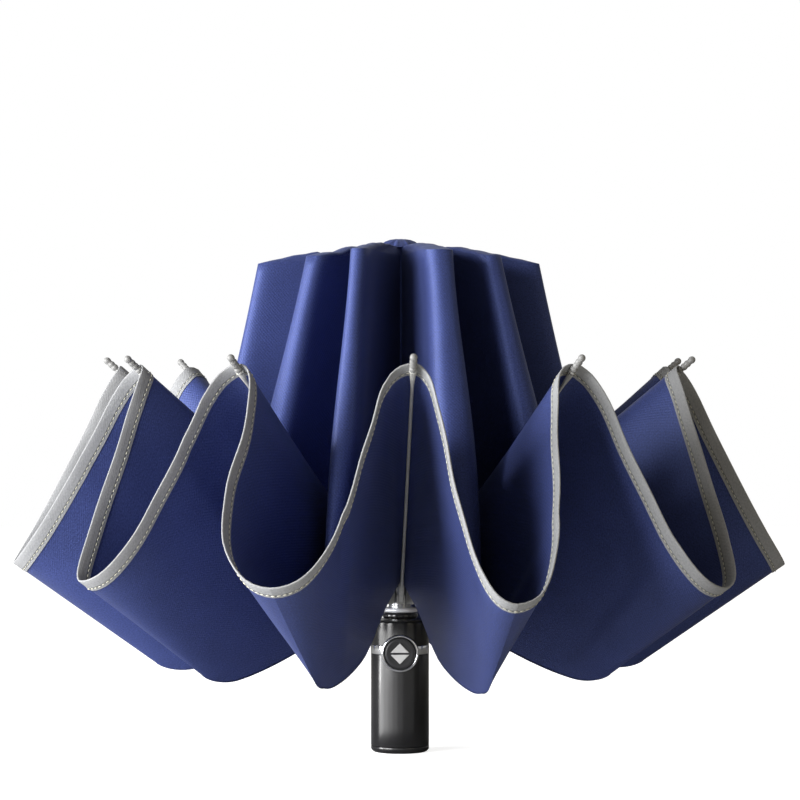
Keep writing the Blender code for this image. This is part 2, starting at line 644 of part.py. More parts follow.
def make_outer_ribs(finishes):
    """Wires on knee clamps, hinged at the knees, and a ridged tip on each."""
    bore = PIN_RADIUS + CLEARANCE
    half = CLAMP_THICKNESS * 0.5
    foot = half * CLAMP_FOOT_SHARE
    head = half * CLAMP_HEAD_SHARE
    profile = [
        (half, -foot),
        (half, CLAMP_LENGTH - half),
        (head, CLAMP_LENGTH),
        (-head, CLAMP_LENGTH),
        (-half, CLAMP_LENGTH - half),
        (-half, -foot),
        (-foot, -half),
        (foot, -half),
    ]
    ridge = TIP_RADIUS - TIP_RIDGE
    tip_foot = OUTER_RIB_LENGTH - TIP_SOCKET
    tip_top = tip_foot + TIP_LENGTH
    rings = [tip_foot + TIP_LENGTH * share for share in TIP_TAPER_SHARES]
    wide, narrow = TIP_ROUND_SHARES
    for index in range(len(RIB_BEARINGS_DEGREES)):
        name = f"outer_rib_{index + 1:02d}"
        lean = Matrix.Rotation(OUTER_RIB_LEAN, 4, "Y")
        frame = rib_matrix(index) @ Matrix.Translation((KNEE_RADIUS, 0.0, KNEE_HEIGHT)) @ lean
        clamp = prism(profile, -CLAMP_WIDTH * 0.5, CLAMP_WIDTH * 0.5)
        rib = place(name, clamp, finishes["plastic"], frame)
        wire_start = Matrix.Translation((0.0, 0.0, CLAMP_LENGTH * 0.5))
        wire_rod = rod(OUTER_RIB_WIRE, OUTER_RIB_LENGTH - CLAMP_LENGTH * 0.5, WIRE_SIDES)
        wire = cutter(f"{name}_wire", wire_rod, frame @ wire_start)
        boolean(rib, wire, "UNION")
        turn = Matrix.Rotation(-math.pi / 2.0, 4, "X")
        hole_start = Matrix.Translation((0.0, -CLAMP_WIDTH, 0.0))
        hole = cutter(
            f"{name}_hole", rod(bore, 2.0 * CLAMP_WIDTH, WIRE_SIDES), frame @ hole_start @ turn
        )
        boolean(rib, hole)
        socket = OUTER_RIB_WIRE + CLEARANCE
        tip = [
            (0.0, OUTER_RIB_LENGTH + CLEARANCE),
            (socket, OUTER_RIB_LENGTH + CLEARANCE),
            (socket, tip_foot),
            (TIP_COLLAR, tip_foot),
            (TIP_COLLAR, rings[0]),
            (TIP_RADIUS, rings[1]),
            (ridge, rings[2]),
            (TIP_RADIUS, rings[3]),
            (ridge, rings[4]),
            (TIP_RADIUS, rings[5]),
            (TIP_RADIUS * wide, rings[6]),
            (TIP_RADIUS * narrow, tip_top),
            (0.0, tip_top),
        ]
        place(f"tip_{index + 1:02d}", turned_solid(tip, WIRE_SIDES), finishes["tip"], frame)


def share_at(table, way, ways):
    """Read a table of shares at a way along it, with a smooth curve through its points."""
    last = len(ways) - 1
    for step in range(last):
        if way <= ways[step + 1] or step == last - 1:
            span = ways[step + 1] - ways[step]
            part = (way - ways[step]) / span
            before = table[max(step - 1, 0)]
            after = table[min(step + 2, last)]
            before_way = ways[max(step - 1, 0)]
            after_way = ways[min(step + 2, last)]
            start_slope = (table[step + 1] - before) / (ways[step + 1] - before_way) * span
            end_slope = (after - table[step]) / (after_way - ways[step]) * span
            squared = part * part
            cubed = squared * part
            return (
                (2.0 * cubed - 3.0 * squared + 1.0) * table[step]
                + (cubed - 2.0 * squared + part) * start_slope
                + (3.0 * squared - 2.0 * cubed) * table[step + 1]
                + (cubed - squared) * end_slope
            )
    return table[last]


def gore_middle(gore):
    """The bearing halfway between a gore's two ribs."""
    first = RIB_BEARINGS_DEGREES[gore]
    second = RIB_BEARINGS_DEGREES[(gore + 1) % len(RIB_BEARINGS_DEGREES)]
    if second < first:
        second += 360.0
    return (first + second) * 0.5


def rib_point(index, x, z, side=0.0):
    """A point in a rib's own plane, and a little to its side."""
    return rib_matrix(index) @ Vector((x, side, z))


def hump(part):
    """A parabola that is nought at both ends and one in the middle."""
    return 1.0 - (2.0 * part - 1.0) ** 2


def fold_point(gore, rib, side, way):
    """The line where the canopy turns up into its skirt, from a knee to a lobe's bottom."""
    bearing = gore_middle(gore) + LOBE_TURN_DEGREES[gore]
    start = rib_point(rib, VALLEY_RADIUS, FOLD_HEIGHT, side)
    end = bearing_point(bearing, LOBE_RADIUS, LOBE_HEIGHT)
    outward = 1.0 - (1.0 - way) ** LOBE_ROUNDING
    point = start.lerp(end, way)
    middle_axis = bearing_point(bearing, 1.0, 0.0)
    reach = (end - start).dot(middle_axis)
    point += middle_axis * reach * (outward - way)
    point.z -= LOBE_SAG * hump(way) * (1.0 - way * SAG_LEAN)
    return point


def shoulder_point(gore, rib, side, way):
    """The creased top edge of a pleat, from a valley to the middle of its gore."""
    start = rib_point(rib, VALLEY_RADIUS, VALLEY_TOP, side)
    bearing = gore_middle(gore) + PLEAT_TURN_DEGREES[gore]
    end = bearing_point(bearing, SHOULDER_RADIUS * PLEAT_RADIUS_SHARES[gore], SHOULDER_HEIGHT)
    outward = 1.0 - (1.0 - way) ** SHOULDER_ROUNDING
    point = start.lerp(end, way)
    middle_axis = bearing_point(bearing, 1.0, 0.0)
    reach = (end - start).dot(middle_axis)
    return point + middle_axis * reach * (outward - way)


def rim_point(gore, rib, way):
    """The canopy's free edge, from a tip down to the middle of a gore."""
    radius_in, height_in = rib_line(OUTER_RIB_LENGTH - TIP_SOCKET * 0.5, SKIRT_LIFT)
    radius_out = RIM_RADIUS * RIM_RADIUS_SHARES[gore]
    height_out = RIM_HEIGHT * RIM_HEIGHT_SHARES[gore]
    first = RIB_BEARINGS_DEGREES[rib]
    turn = gore_middle(gore) + RIM_TURN_DEGREES[gore] - first
    turn = (turn + 180.0) % 360.0 - 180.0
    side = share_at(RIM_SIDE_SHARES, way, GORE_WAY_SHARES)
    drop = share_at(RIM_DROP_SHARES, way, GORE_WAY_SHARES)
    out = share_at(RIM_OUT_SHARES, way, GORE_WAY_SHARES)
    radius = radius_in + (radius_out - radius_in) * out
    height = height_in + (height_out - height_in) * drop
    return bearing_point(first + turn * side, radius, height)


def sheet(name, rows, closed, thickness, finish, crease):
    """A cloth sheet from rows of points, thickened evenly about them."""
    builder = bmesh.new()
    grid = [[builder.verts.new(point) for point in row] for row in rows]
    for low, high in zip(grid, grid[1:]):
        count = len(low)
        for step in range(count if closed else count - 1):
            after = (step + 1) % count
            builder.faces.new((low[step], low[after], high[after], high[step]))
    obj = place(name, builder, finish, crease=crease)
    thicken = obj.modifiers.new("thickness", "SOLIDIFY")
    thicken.thickness = thickness
    thicken.offset = 0.0
    return obj


def make_upper_canopy(finishes):
    """The gathered cloth from the crown to the fold, one sharp pleat to a gore."""
    ribs = len(RIB_BEARINGS_DEGREES)
    rows = [[] for _ in range(UPPER_ROWS + 2)]
    for gore in range(ribs):
        after = (gore + 1) % ribs
        stations = [(gore, VALLEY_HALF_WIDTH, way) for way in UPPER_WAY_SHARES]
        stations += [(after, -VALLEY_HALF_WIDTH, way) for way in UPPER_WAY_SHARES[-2::-1]]
        for rib, side, way in stations:
            shoulder = shoulder_point(gore, rib, side, way)
            fold = fold_point(gore, rib, side, way)
            ring = Vector((shoulder.x, shoulder.y, 0.0)).normalized() * CROWN_HOLE
            ring.z = CROWN_CLOTH_HEIGHT
            rows[0].append(ring)
            for step in range(UPPER_ROWS + 1):
                down = step / UPPER_ROWS
                point = shoulder.lerp(fold, down)
                height_share = (SHOULDER_HEIGHT - WAIST_HEIGHT) / (SHOULDER_HEIGHT - LOBE_HEIGHT)
                straight = SHOULDER_RADIUS + (LOBE_RADIUS - SHOULDER_RADIUS) * height_share
                pull = (straight - WAIST_RADIUS) * way * hump(down)
                inward = Vector((point.x, point.y, 0.0)).normalized()
                rows[step + 1].append(point - inward * pull)
    sheet("canopy_upper", rows, True, CLOTH, finishes["cloth"], PLEAT_CREASE_ANGLE)


def skirt_line(gore, rib, hand, way):
    """A straight line of the skirt, from just outside the canopy's fold to the rim."""
    side = hand * VALLEY_HALF_WIDTH * min(way / SKIRT_OPENING_SHARE, 1.0)
    low = fold_point(gore, rib, side, way)
    sideways = rib_matrix(rib) @ Vector((0.0, -hand, 0.0))
    apart = min(way / SKIRT_SPACING_SHARE, 1.0) * (1.0 - way**SKIRT_SPACING_POWER)
    low += sideways * SHEET_SPACING * apart
    return low, rim_point(gore, rib, way)


def skirt_stations(index):
    """The way across one rib's skirt: gore behind it, then gore ahead of it."""
    ribs = len(RIB_BEARINGS_DEGREES)
    behind = (index - 1) % ribs
    back = [(behind, -1.0, way) for way in GORE_WAY_SHARES[:0:-1]]
    ahead = [(index, 1.0, way) for way in GORE_WAY_SHARES]
    return back + ahead


def make_skirts(finishes):
    """The cloth that is turned up on each outer rib, ending where the tape starts."""
    for index in range(len(RIB_BEARINGS_DEGREES)):
        rows = [[] for _ in range(SKIRT_ROWS + 1)]
        for gore, hand, way in skirt_stations(index):
            low, high = skirt_line(gore, index, hand, way)
            length = (high - low).length
            start = FOLD_RELIEF / length
            end = 1.0 - (TAPE_WIDTH + CLEARANCE) / length
            seam = bearing_point(gore_middle(gore) - 90.0 * hand, SEAM_RELIEF, 0.0)
            shift = seam if way == 1.0 else Vector()
            for step in range(SKIRT_ROWS + 1):
                up = start + (end - start) * step / SKIRT_ROWS
                rows[step].append(low.lerp(high, up) + shift)
        name = f"skirt_{index + 1:02d}"
        sheet(name, rows, False, CLOTH, finishes["cloth"], CREASE_ANGLE)


def make_rim_binding(finishes):
    """The grey tape sewn along the whole free edge."""
    rows = [[], []]
    for index in range(len(RIB_BEARINGS_DEGREES)):
        for gore, hand, way in skirt_stations(index)[len(GORE_WAY_SHARES) - 1:]:
            add_tape_point(rows, gore, index, hand, way)
        after = (index + 1) % len(RIB_BEARINGS_DEGREES)
        for way in GORE_WAY_SHARES[-2:0:-1]:
            add_tape_point(rows, index, after, -1.0, way)
    sheet("rim_binding", rows, True, TAPE_THICKNESS, finishes["tape"], CREASE_ANGLE)


def add_tape_point(rows, gore, rib, hand, way):
    """One station of the tape, from its sewn side to the free edge."""
    low, high = skirt_line(gore, rib, hand, way)
    length = (high - low).length
    rows[0].append(low.lerp(high, 1.0 - TAPE_WIDTH / length))
    rows[1].append(high)


def main():
    """Build the umbrella."""
    remove_everything()
    finishes = make_materials()
    make_handle(finishes)
    back, lock_front = make_button(finishes)
    make_button_spring(back, lock_front, finishes)
    make_pole(finishes)
    make_crown(finishes)
    make_inner_ribs(finishes)
    make_outer_ribs(finishes)
    make_upper_canopy(finishes)
    make_skirts(finishes)
    make_rim_binding(finishes)


main()
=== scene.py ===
"""Looks of a compact reverse-folding umbrella: dressed pieces, studio, camera."""

import json
import logging
import math
from dataclasses import dataclass
from enum import Enum
from typing import Callable, Sequence

import bmesh
import bpy
import numpy as np
from mathutils import Matrix, Vector

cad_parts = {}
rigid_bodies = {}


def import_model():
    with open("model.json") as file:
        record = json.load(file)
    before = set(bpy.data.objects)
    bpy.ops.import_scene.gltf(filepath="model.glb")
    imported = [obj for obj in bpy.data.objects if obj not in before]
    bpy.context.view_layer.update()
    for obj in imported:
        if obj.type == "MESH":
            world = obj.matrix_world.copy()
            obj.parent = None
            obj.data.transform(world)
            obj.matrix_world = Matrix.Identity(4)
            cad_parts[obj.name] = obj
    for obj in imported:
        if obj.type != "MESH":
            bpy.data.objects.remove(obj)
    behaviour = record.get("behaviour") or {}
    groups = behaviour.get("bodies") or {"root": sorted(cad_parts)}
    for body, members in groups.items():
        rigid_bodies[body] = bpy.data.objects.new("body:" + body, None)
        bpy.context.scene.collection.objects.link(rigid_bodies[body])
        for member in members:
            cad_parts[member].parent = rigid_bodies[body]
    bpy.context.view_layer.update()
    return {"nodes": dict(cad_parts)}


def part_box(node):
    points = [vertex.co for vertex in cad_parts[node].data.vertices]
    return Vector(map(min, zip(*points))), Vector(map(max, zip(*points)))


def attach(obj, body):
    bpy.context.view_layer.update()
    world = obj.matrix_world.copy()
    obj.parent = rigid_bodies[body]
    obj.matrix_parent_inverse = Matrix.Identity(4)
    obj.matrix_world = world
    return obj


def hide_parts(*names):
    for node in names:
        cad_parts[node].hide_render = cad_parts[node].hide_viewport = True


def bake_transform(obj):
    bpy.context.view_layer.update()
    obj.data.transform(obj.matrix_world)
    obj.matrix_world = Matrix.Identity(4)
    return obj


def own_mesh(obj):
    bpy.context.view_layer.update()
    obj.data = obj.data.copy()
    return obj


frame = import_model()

LOG = logging.getLogger("umbrella")
MM = 0.001
TINY = 1e-9
Array = np.ndarray
Triple = tuple[float, float, float]
Pair = tuple[float, float]
Outline = Sequence[Pair]
Table = tuple[float, ...]
Sockets = bpy.types.bpy_prop_collection
WHITE: Triple = (1.0, 1.0, 1.0)
WARM: Triple = (1.0, 0.87, 0.6)


class Body(Enum):
    """Bodies that more than one piece rides on."""

    HANDLE = "handle"
    BUTTON = "button"
    POLE_MID = "pole_mid"
    CROWN = "crown"


class Slot(Enum):
    """Material slots of the record."""

    HANDLE = "handle_black"
    CAP = "cap_black"
    COLLAR = "collar_black"
    CHROME = "chrome_trim"
    RING = "ring_metal"
    BUTTON = "button_black"
    ARROW = "arrow_grey"
    POLE = "pole_steel"
    RIB = "rib_metal"
    TIP = "tip_plastic"
    CLOTH = "canopy_cloth"
    TAPE = "rim_tape"


class Wiring:
    """Short ways to add and join nodes of one tree."""

    def __init__(self, tree: bpy.types.NodeTree) -> None:
        """Hold the tree."""
        self.tree = tree

    def node(
        self, kind: str, sources: dict[str, object] | None = None, **settings: object
    ) -> Sockets:
        """Add a node, set its properties and feed its inputs.

        Args:
            kind: The node's type name.
            sources: What goes into its inputs, by name.
            **settings: Properties to set on it.

        Returns:
            Its output sockets.
        """
        made = self.tree.nodes.new(kind)
        for key, value in settings.items():
            setattr(made, key, value)
        self.fill(made, sources or {})
        return made.outputs

    def feed(self, source: object, target: bpy.types.NodeSocket) -> None:
        """Link a socket, or set a plain value.

        Args:
            source: An output socket, a value, or a colour of three values.
            target: The input socket.
        """
        if isinstance(source, bpy.types.NodeSocket):
            self.tree.links.new(source, target)
        else:
            target.default_value = (*source, 1.0) if target.type == "RGBA" else source

    def fill(self, node: bpy.types.Node, sources: dict[str, object]) -> None:
        """Feed a node's inputs by name."""
        for label, source in sources.items():
            self.feed(source, node.inputs[label])

    def math(self, operation: str, *values: object) -> bpy.types.NodeSocket:
        """Add a Math node.

        Args:
            operation: The node's operation.
            *values: Sockets or numbers for its inputs.

        Returns:
            Its output socket.
        """
        made = self.tree.nodes.new("ShaderNodeMath")
        made.operation = operation
        for value, socket in zip(values, made.inputs):
            self.feed(value, socket)
        return made.outputs[0]

    def noise(self, vector: object, scale: object, detail: float) -> bpy.types.NodeSocket:
        """Add a noise texture.

        Args:
            vector: The coordinates' socket.
            scale: Noise cells to a metre.
            detail: Octaves.

        Returns:
            The factor's socket.
        """
        sources = {"Vector": vector, "Scale": scale, "Detail": detail}
        made = self.node("ShaderNodeTexNoise", sources)
        return made["Factor" if "Factor" in made else "Fac"]

    def mix(self, factor: object, first: object, second: object) -> bpy.types.NodeSocket:
        """Blend two colours, or their sockets, by the second one's share."""
        sources = {"Factor": factor, "A": first, "B": second}
        return self.node("ShaderNodeMix", sources, data_type="RGBA")["Result"]

    def group(self, tree: bpy.types.NodeTree, sources: dict[str, object]) -> Sockets:
        """Add a group and feed it, once its tree has given it its sockets."""
        made = self.tree.nodes.new("ShaderNodeGroup")
        made.node_tree = tree
        self.fill(made, sources)
        return made.outputs

    def split(self, vector: object) -> Sockets:
        """Take a vector apart into the sockets X, Y and Z."""
        return self.node("ShaderNodeSeparateXYZ", {"Vector": vector})


def start_group(
    name: str, numbers: dict[str, float], results: Sequence[str]
) -> tuple[Wiring, Sockets, Sockets]:
    """Start a shader node group that reads a vector and some numbers.

    Args:
        name: The group's name.
        numbers: Default values of its number inputs.
        results: Names of its number outputs.

    Returns:
        The group's wiring, the sockets that it reads and those that it fills.
    """
    tree = bpy.data.node_groups.new(name, "ShaderNodeTree")
    tree.interface.new_socket("Vector", in_out="INPUT", socket_type="NodeSocketVector")
    for label, default in numbers.items():
        made = tree.interface.new_socket(label, in_out="INPUT", socket_type="NodeSocketFloat")
        made.default_value = default
    for label in results:
        tree.interface.new_socket(label, in_out="OUTPUT", socket_type="NodeSocketFloat")
    source = tree.nodes.new("NodeGroupInput")
    sink = tree.nodes.new("NodeGroupOutput")
    return Wiring(tree), source.outputs, sink.inputs


def build_weave_group() -> bpy.types.NodeTree:
    """Make the plain weave that cloth and tape share.

    Returns:
        A group that turns a vector in metres into thread height and a shade mask.
    """
    wire, source, sink = start_group("plain_weave", {"Threads": 900.0}, ("Height", "Shade"))
    cloud_cells, octaves = 45.0, 2.0
    slub_height, thread_height, base_height = 0.8, 0.3, 0.1
    slub_contrast, cloud_share = 2.4, 0.3
    split = wire.split(source["Vector"])
    turns = wire.math("MULTIPLY", source["Threads"], math.pi)
    warp = wire.math("SINE", wire.math("MULTIPLY", split["X"], turns))
    weft = wire.math("SINE", wire.math("MULTIPLY", split["Y"], turns))
    crossing = wire.math("MULTIPLY", wire.math("MULTIPLY", warp, weft), thread_height)
    cloudy = wire.noise(source["Vector"], cloud_cells, octaves)
    slubs = wire.noise(source["Vector"], source["Threads"], octaves)
    rough = wire.math("MULTIPLY_ADD", slubs, slub_height, crossing)
    wire.feed(wire.math("ADD", rough, base_height), sink["Height"])
    speckle = wire.math("MULTIPLY_ADD", wire.math("SUBTRACT", slubs, 0.5), slub_contrast, 0.5)
    spread = wire.math("MULTIPLY", speckle, 1.0 - cloud_share)
    shade = wire.math("MULTIPLY_ADD", cloudy, cloud_share, spread)
    wire.feed(wire.math("MINIMUM", wire.math("MAXIMUM", shade, 0.0), 1.0), sink["Shade"])
    return wire.tree


def build_wear_group() -> bpy.types.NodeTree:
    """Make the faint handling marks that plastics and metals share.

    Returns:
        A group that turns a vector into a mark mask and a fine grain height.
    """
    wire, source, sink = start_group("handling_marks", {"Cells": 120.0}, ("Marks", "Grain"))
    ceiling, softness, fineness = 0.8, 0.2, 30.0
    marks = wire.noise(source["Vector"], source["Cells"], 6.0)
    fine_cells = wire.math("MULTIPLY", source["Cells"], fineness)
    wire.feed(wire.math("SMOOTH_MIN", marks, ceiling, softness), sink["Marks"])
    wire.feed(wire.noise(source["Vector"], fine_cells, 1.0), sink["Grain"])
    return wire.tree


def build_channel_group() -> bpy.types.NodeTree:
    """Make the channel that a row of stitches presses into a folded tape.

    Returns:
        A group that turns a vector in metres into the channel's depth, the same on both
        sides of y = 0.
    """
    numbers = {"Distance": 5.0 * MM, "Width": 0.9 * MM}
    wire, source, sink = start_group("sewn_channel", numbers, ("Depth",))
    height = wire.math("ABSOLUTE", wire.split(source["Vector"])["Y"])
    beside = wire.math("SUBTRACT", height, source["Distance"])
    near = wire.math("DIVIDE", wire.math("ABSOLUTE", beside), source["Width"])
    wire.feed(wire.math("SUBTRACT", 1.0, wire.math("MINIMUM", near, 1.0)), sink["Depth"])
    return wire.tree


@dataclass(frozen=True)
class Finish:
    """A surface finish that becomes one Principled material.

    Args:
        name: The material's name.
        dark: Linear colour in the dark of the pattern.
        pale: Linear colour in its light.
        roughness: Lowest and highest roughness.
        metallic: 0 for plastics and cloth, 1 for metal.
        specular: Level of plain reflection.
        coat: Weight of a clear coat.
        grain: Bump height in metres.
        cells: Marks or threads to a metre.
        woven: Whether the weave group and the UV map are used.
        sheen: Weight of cloth sheen.
        sheen_roughness: Its roughness.
        sheen_tint: Its colour.
        tint: Triple of its plain reflection.
        seam: Distance of a sewn channel from the line y = 0 of the UV map, or 0 for none.
        seam_shade: How far the channel's painted shadow covers the colour.
        seam_dark: The painted shadow's share of the dark colour.
        seam_depth: The channel's depth in bump heights.
    """

    name: str
    dark: Triple
    pale: Triple
    roughness: Pair = (0.35, 0.45)
    metallic: float = 0.0
    specular: float = 0.5
    coat: float = 0.0
    grain: float = 0.02 * MM
    cells: float = 120.0
    woven: bool = False
    sheen: float = 0.0
    sheen_roughness: float = 0.35
    sheen_tint: Triple = (0.55, 0.65, 1.0)
    tint: Triple = WHITE
    seam: float = 0.0
    seam_shade: float = 0.55
    seam_dark: float = 0.3
    seam_depth: float = 4.0

    def make(self, groups: dict[str, bpy.types.NodeTree]) -> bpy.types.Material:
        """Build the material.

        Args:
            groups: The shared node groups by name.

        Returns:
            The material.
        """
        made = bpy.data.materials.new(self.name)
        made.use_nodes = True
        wire = Wiring(made.node_tree)
        places = wire.node("ShaderNodeTexCoord")
        group, place, cells, shade, relief = (
            ("weave", "UV", "Threads", "Shade", "Height")
            if self.woven
            else ("marks", "Object", "Cells", "Marks", "Grain")
        )
        pattern = wire.group(groups[group], {"Vector": places[place], cells: self.cells})
        mask, height = pattern[shade], pattern[relief]
        colour = wire.mix(mask, self.dark, self.pale)
        if self.seam:
            sources = {"Vector": places["UV"], "Distance": self.seam}
            depth = wire.group(groups["channel"], sources)["Depth"]
            # Painted shadow: the colour darkens along the stitch channel, as well as the bump
            # pressing it in.
            shadow = tuple(level * self.seam_dark for level in self.dark)
            colour = wire.mix(wire.math("MULTIPLY", depth, self.seam_shade), colour, shadow)
            pressed = wire.math("MULTIPLY", depth, self.seam_depth)
            height = wire.math("SUBTRACT", height, pressed)
        low, high = self.roughness
        bump = wire.node("ShaderNodeBump", {"Distance": self.grain, "Height": height})
        wire.fill(made.node_tree.nodes["Principled BSDF"], {
            "Base Color": colour,
            "Roughness": wire.math("MULTIPLY_ADD", mask, high - low, low),
            "Normal": bump["Normal"],
            "Metallic": self.metallic,
            "Specular IOR Level": self.specular,
            "Specular Tint": self.tint,
            "Coat Weight": self.coat,
            "Sheen Weight": self.sheen,
            "Sheen Roughness": self.sheen_roughness,
            "Sheen Tint": self.sheen_tint,
        })
        return made


FINISHES = {
    "handle": Finish(
        "satin_black_shell", (0.008, 0.008, 0.009), (0.012, 0.012, 0.013), (0.15, 0.19),
        specular=0.4,
    ),
    "collar": Finish(
        "glossy_black_collar", (0.005, 0.005, 0.006), (0.009, 0.009, 0.01), (0.1, 0.16),
        coat=0.4,
    ),
    "chrome": Finish(
        "bright_chrome", (0.8, 0.81, 0.84), (0.9, 0.91, 0.93), (0.05, 0.1), 1.0,
        grain=0.002 * MM,
    ),
    "ring": Finish(
        "bright_ring", (0.84, 0.85, 0.93), (0.95, 0.96, 1.0), (0.18, 0.28), 0.45,
        grain=0.002 * MM,
    ),
    "button": Finish(
        "dark_button", (0.022, 0.022, 0.024), (0.04, 0.04, 0.043), (0.3, 0.42), specular=0.4
    ),
    "arrow": Finish("pale_arrow", (0.5, 0.5, 0.5), (0.6, 0.6, 0.6), (0.35, 0.5)),
    "steel": Finish("drawn_steel", (0.45, 0.46, 0.48), (0.62, 0.63, 0.65), (0.18, 0.3), 1.0),
    "lock": Finish(
        "black_inner_plastic", (0.012, 0.012, 0.014), (0.022, 0.022, 0.024), (0.4, 0.55)
    ),
    "knee": Finish(
        "grey_knee_plastic", (0.3, 0.3, 0.29), (0.45, 0.447, 0.435), (0.5, 0.65), cells=500.0
    ),
    "tip": Finish(
        "pale_grey_tip", (0.19, 0.19, 0.19), (0.28, 0.28, 0.276), (0.4, 0.55), cells=500.0
    ),
    "thread": Finish(
        "cream_thread", (0.52, 0.51, 0.41), (0.68, 0.665, 0.55), (0.6, 0.7), cells=2000.0
    ),
    "grey_thread": Finish(
        "grey_thread", (0.36, 0.36, 0.35), (0.5, 0.5, 0.48), (0.7, 0.8), cells=2000.0
    ),
    "cloth": Finish(
        "blue_satin_polyester", (0.023, 0.031, 0.088), (0.058, 0.079, 0.245), (0.38, 0.5),
        specular=0.45, tint=(0.35, 0.45, 1.0), grain=0.16 * MM, cells=1000.0, woven=True,
        sheen=0.08,
    ),
    "tape": Finish(
        "grey_woven_tape", (0.24, 0.244, 0.252), (0.335, 0.341, 0.352), (0.65, 0.8),
        specular=0.3, grain=0.08 * MM, cells=800.0, woven=True, seam=7.56 * MM,
    ),
}
NODE_FINISHES = {
    "crown_notch": "lock", "notch_wire": "steel", "runner": "lock", "lock_body": "lock",
}


class Wardrobe:
    """All materials, made once."""

    def __init__(self) -> None:
        """Build the groups and every finish."""
        groups = {
            "weave": build_weave_group(),
            "marks": build_wear_group(),
            "channel": build_channel_group(),
        }
        self.made = {name: finish.make(groups) for name, finish in FINISHES.items()}

    def __getitem__(self, name: str) -> bpy.types.Material:
        """Give one material by its short name."""
        return self.made[name]

    def dress_nodes(self) -> None:
        """Put materials on the CAD nodes that stay in view."""
        ribs = {f"inner_rib_{index + 1:02d}": "knee" for index in range(Form.count)}
        for name, finish in (NODE_FINISHES | ribs).items():
            for slot in frame["nodes"][name].material_slots:
                slot.material = self[finish]


def unit(vectors: Array) -> Array:
    """Vectors of length 1 in the same directions."""
    return vectors / np.maximum(np.linalg.norm(vectors, axis=-1), TINY)[..., None]


def eased(share: Array) -> Array:
    """Shares from 0 to 1 that start and end level."""
    return share**2 * (3.0 - 2.0 * share)


def running_length(points: Array) -> Array:
    """Lengths along a line of points, from its start to each of them."""
    spans = np.linalg.norm(np.diff(points, axis=0), axis=-1)
    return np.concatenate(([0.0], np.cumsum(spans)))


def in_metres(outline: Outline, foot: float = 0.0) -> list[Pair]:
    """An outline that is given in mm above a foot."""
    return [(radius * MM, foot + height * MM) for radius, height in outline]


def put(name: str, data: bpy.types.ID) -> bpy.types.Object:
    """Put data in the scene as an object.

    Args:
        name: The object's name.
        data: Its mesh, curve, lamp or camera.

    Returns:
        The object.
    """
    made = bpy.data.objects.new(name, data)
    bpy.context.scene.collection.objects.link(made)
    return made


def link(name: str, mesh: bpy.types.Mesh, material: bpy.types.Material) -> bpy.types.Object:
    """Put a mesh in the scene as an object with one material.

    Args:
        name: The piece's name.
        mesh: Its mesh, already in place.
        material: Its finish.

    Returns:
        The object.
    """
    mesh.materials.clear()
    mesh.materials.append(material)
    return put(name, mesh)


def evaluated(holder: bpy.types.Object) -> bpy.types.Mesh:
    """A new mesh of what an object shows with its modifiers."""
    graph = bpy.context.evaluated_depsgraph_get()
    return bpy.data.meshes.new_from_object(holder.evaluated_get(graph), depsgraph=graph)


def apply_modifiers(piece: bpy.types.Object, crease: float) -> None:
    """Make an object's modifiers part of its mesh.

    Args:
        piece: The object.
        crease: Angle in degrees past which an edge is sharp.
    """
    mesh = evaluated(piece)
    piece.modifiers.clear()
    piece.data = mesh
    mesh.set_sharp_from_angle(angle=math.radians(crease))


def finish_mesh(
    builder: bmesh.types.BMesh, name: str, matrix: Matrix | None = None,
    crease: float | None = None,
) -> bpy.types.Mesh:
    """Turn a builder into a mesh and free it.

    Args:
        builder: The builder, which is used up.
        name: The mesh's name.
        matrix: Where the mesh goes.
        crease: Angle in degrees past which an edge is sharp, or none for flat shading.

    Returns:
        The mesh.
    """
    mesh = bpy.data.meshes.new(name)
    builder.to_mesh(mesh)
    builder.free()
    if matrix is not None:
        mesh.transform(matrix)
    if crease is not None:
        mesh.shade_smooth()
        mesh.set_sharp_from_angle(angle=math.radians(crease))
    return mesh


def lathe(
    name: str, outline: Outline, material: bpy.types.Material, matrix: Matrix | None = None,
    sides: int = 96, closed: bool = True,
    shape: Callable[[float, float], float] | None = None, crease: float = 40.0,
) -> bpy.types.Object:
    """Turn an outline round z.

    Args:
        name: The piece's name.
        outline: Points of (radius, height), from outside top down and back up inside.
        material: Its finish.
        matrix: Where the piece goes.
        sides: Steps round the axis.
        closed: Whether the outline's ends meet, as on a ring.
        shape: Optional factor on the radius from the angle and the height.
        crease: Angle in degrees past which an edge is sharp.

    Returns:
        The object.
    """
    builder = bmesh.new()
    rings = []
    for step in range(sides):
        angle = step / sides * 2.0 * math.pi
        ring = []
        for radius, height in outline:
            factor = shape(angle, height) if shape else 1.0
            x, y = radius * factor * math.cos(angle), radius * factor * math.sin(angle)
            ring.append(builder.verts.new((x, y, height)))
        rings.append(ring)
    count = len(outline)
    for ring, after in zip(rings, rings[1:] + rings[:1]):
        for step in range(count if closed else count - 1):
            follow = (step + 1) % count
            builder.faces.new((ring[step], after[step], after[follow], ring[follow]))
    bmesh.ops.remove_doubles(builder, verts=builder.verts, dist=1e-7)
    bmesh.ops.dissolve_degenerate(builder, edges=builder.edges, dist=1e-7)
    bmesh.ops.recalc_face_normals(builder, faces=builder.faces)
    return link(name, finish_mesh(builder, name, matrix, crease), material)


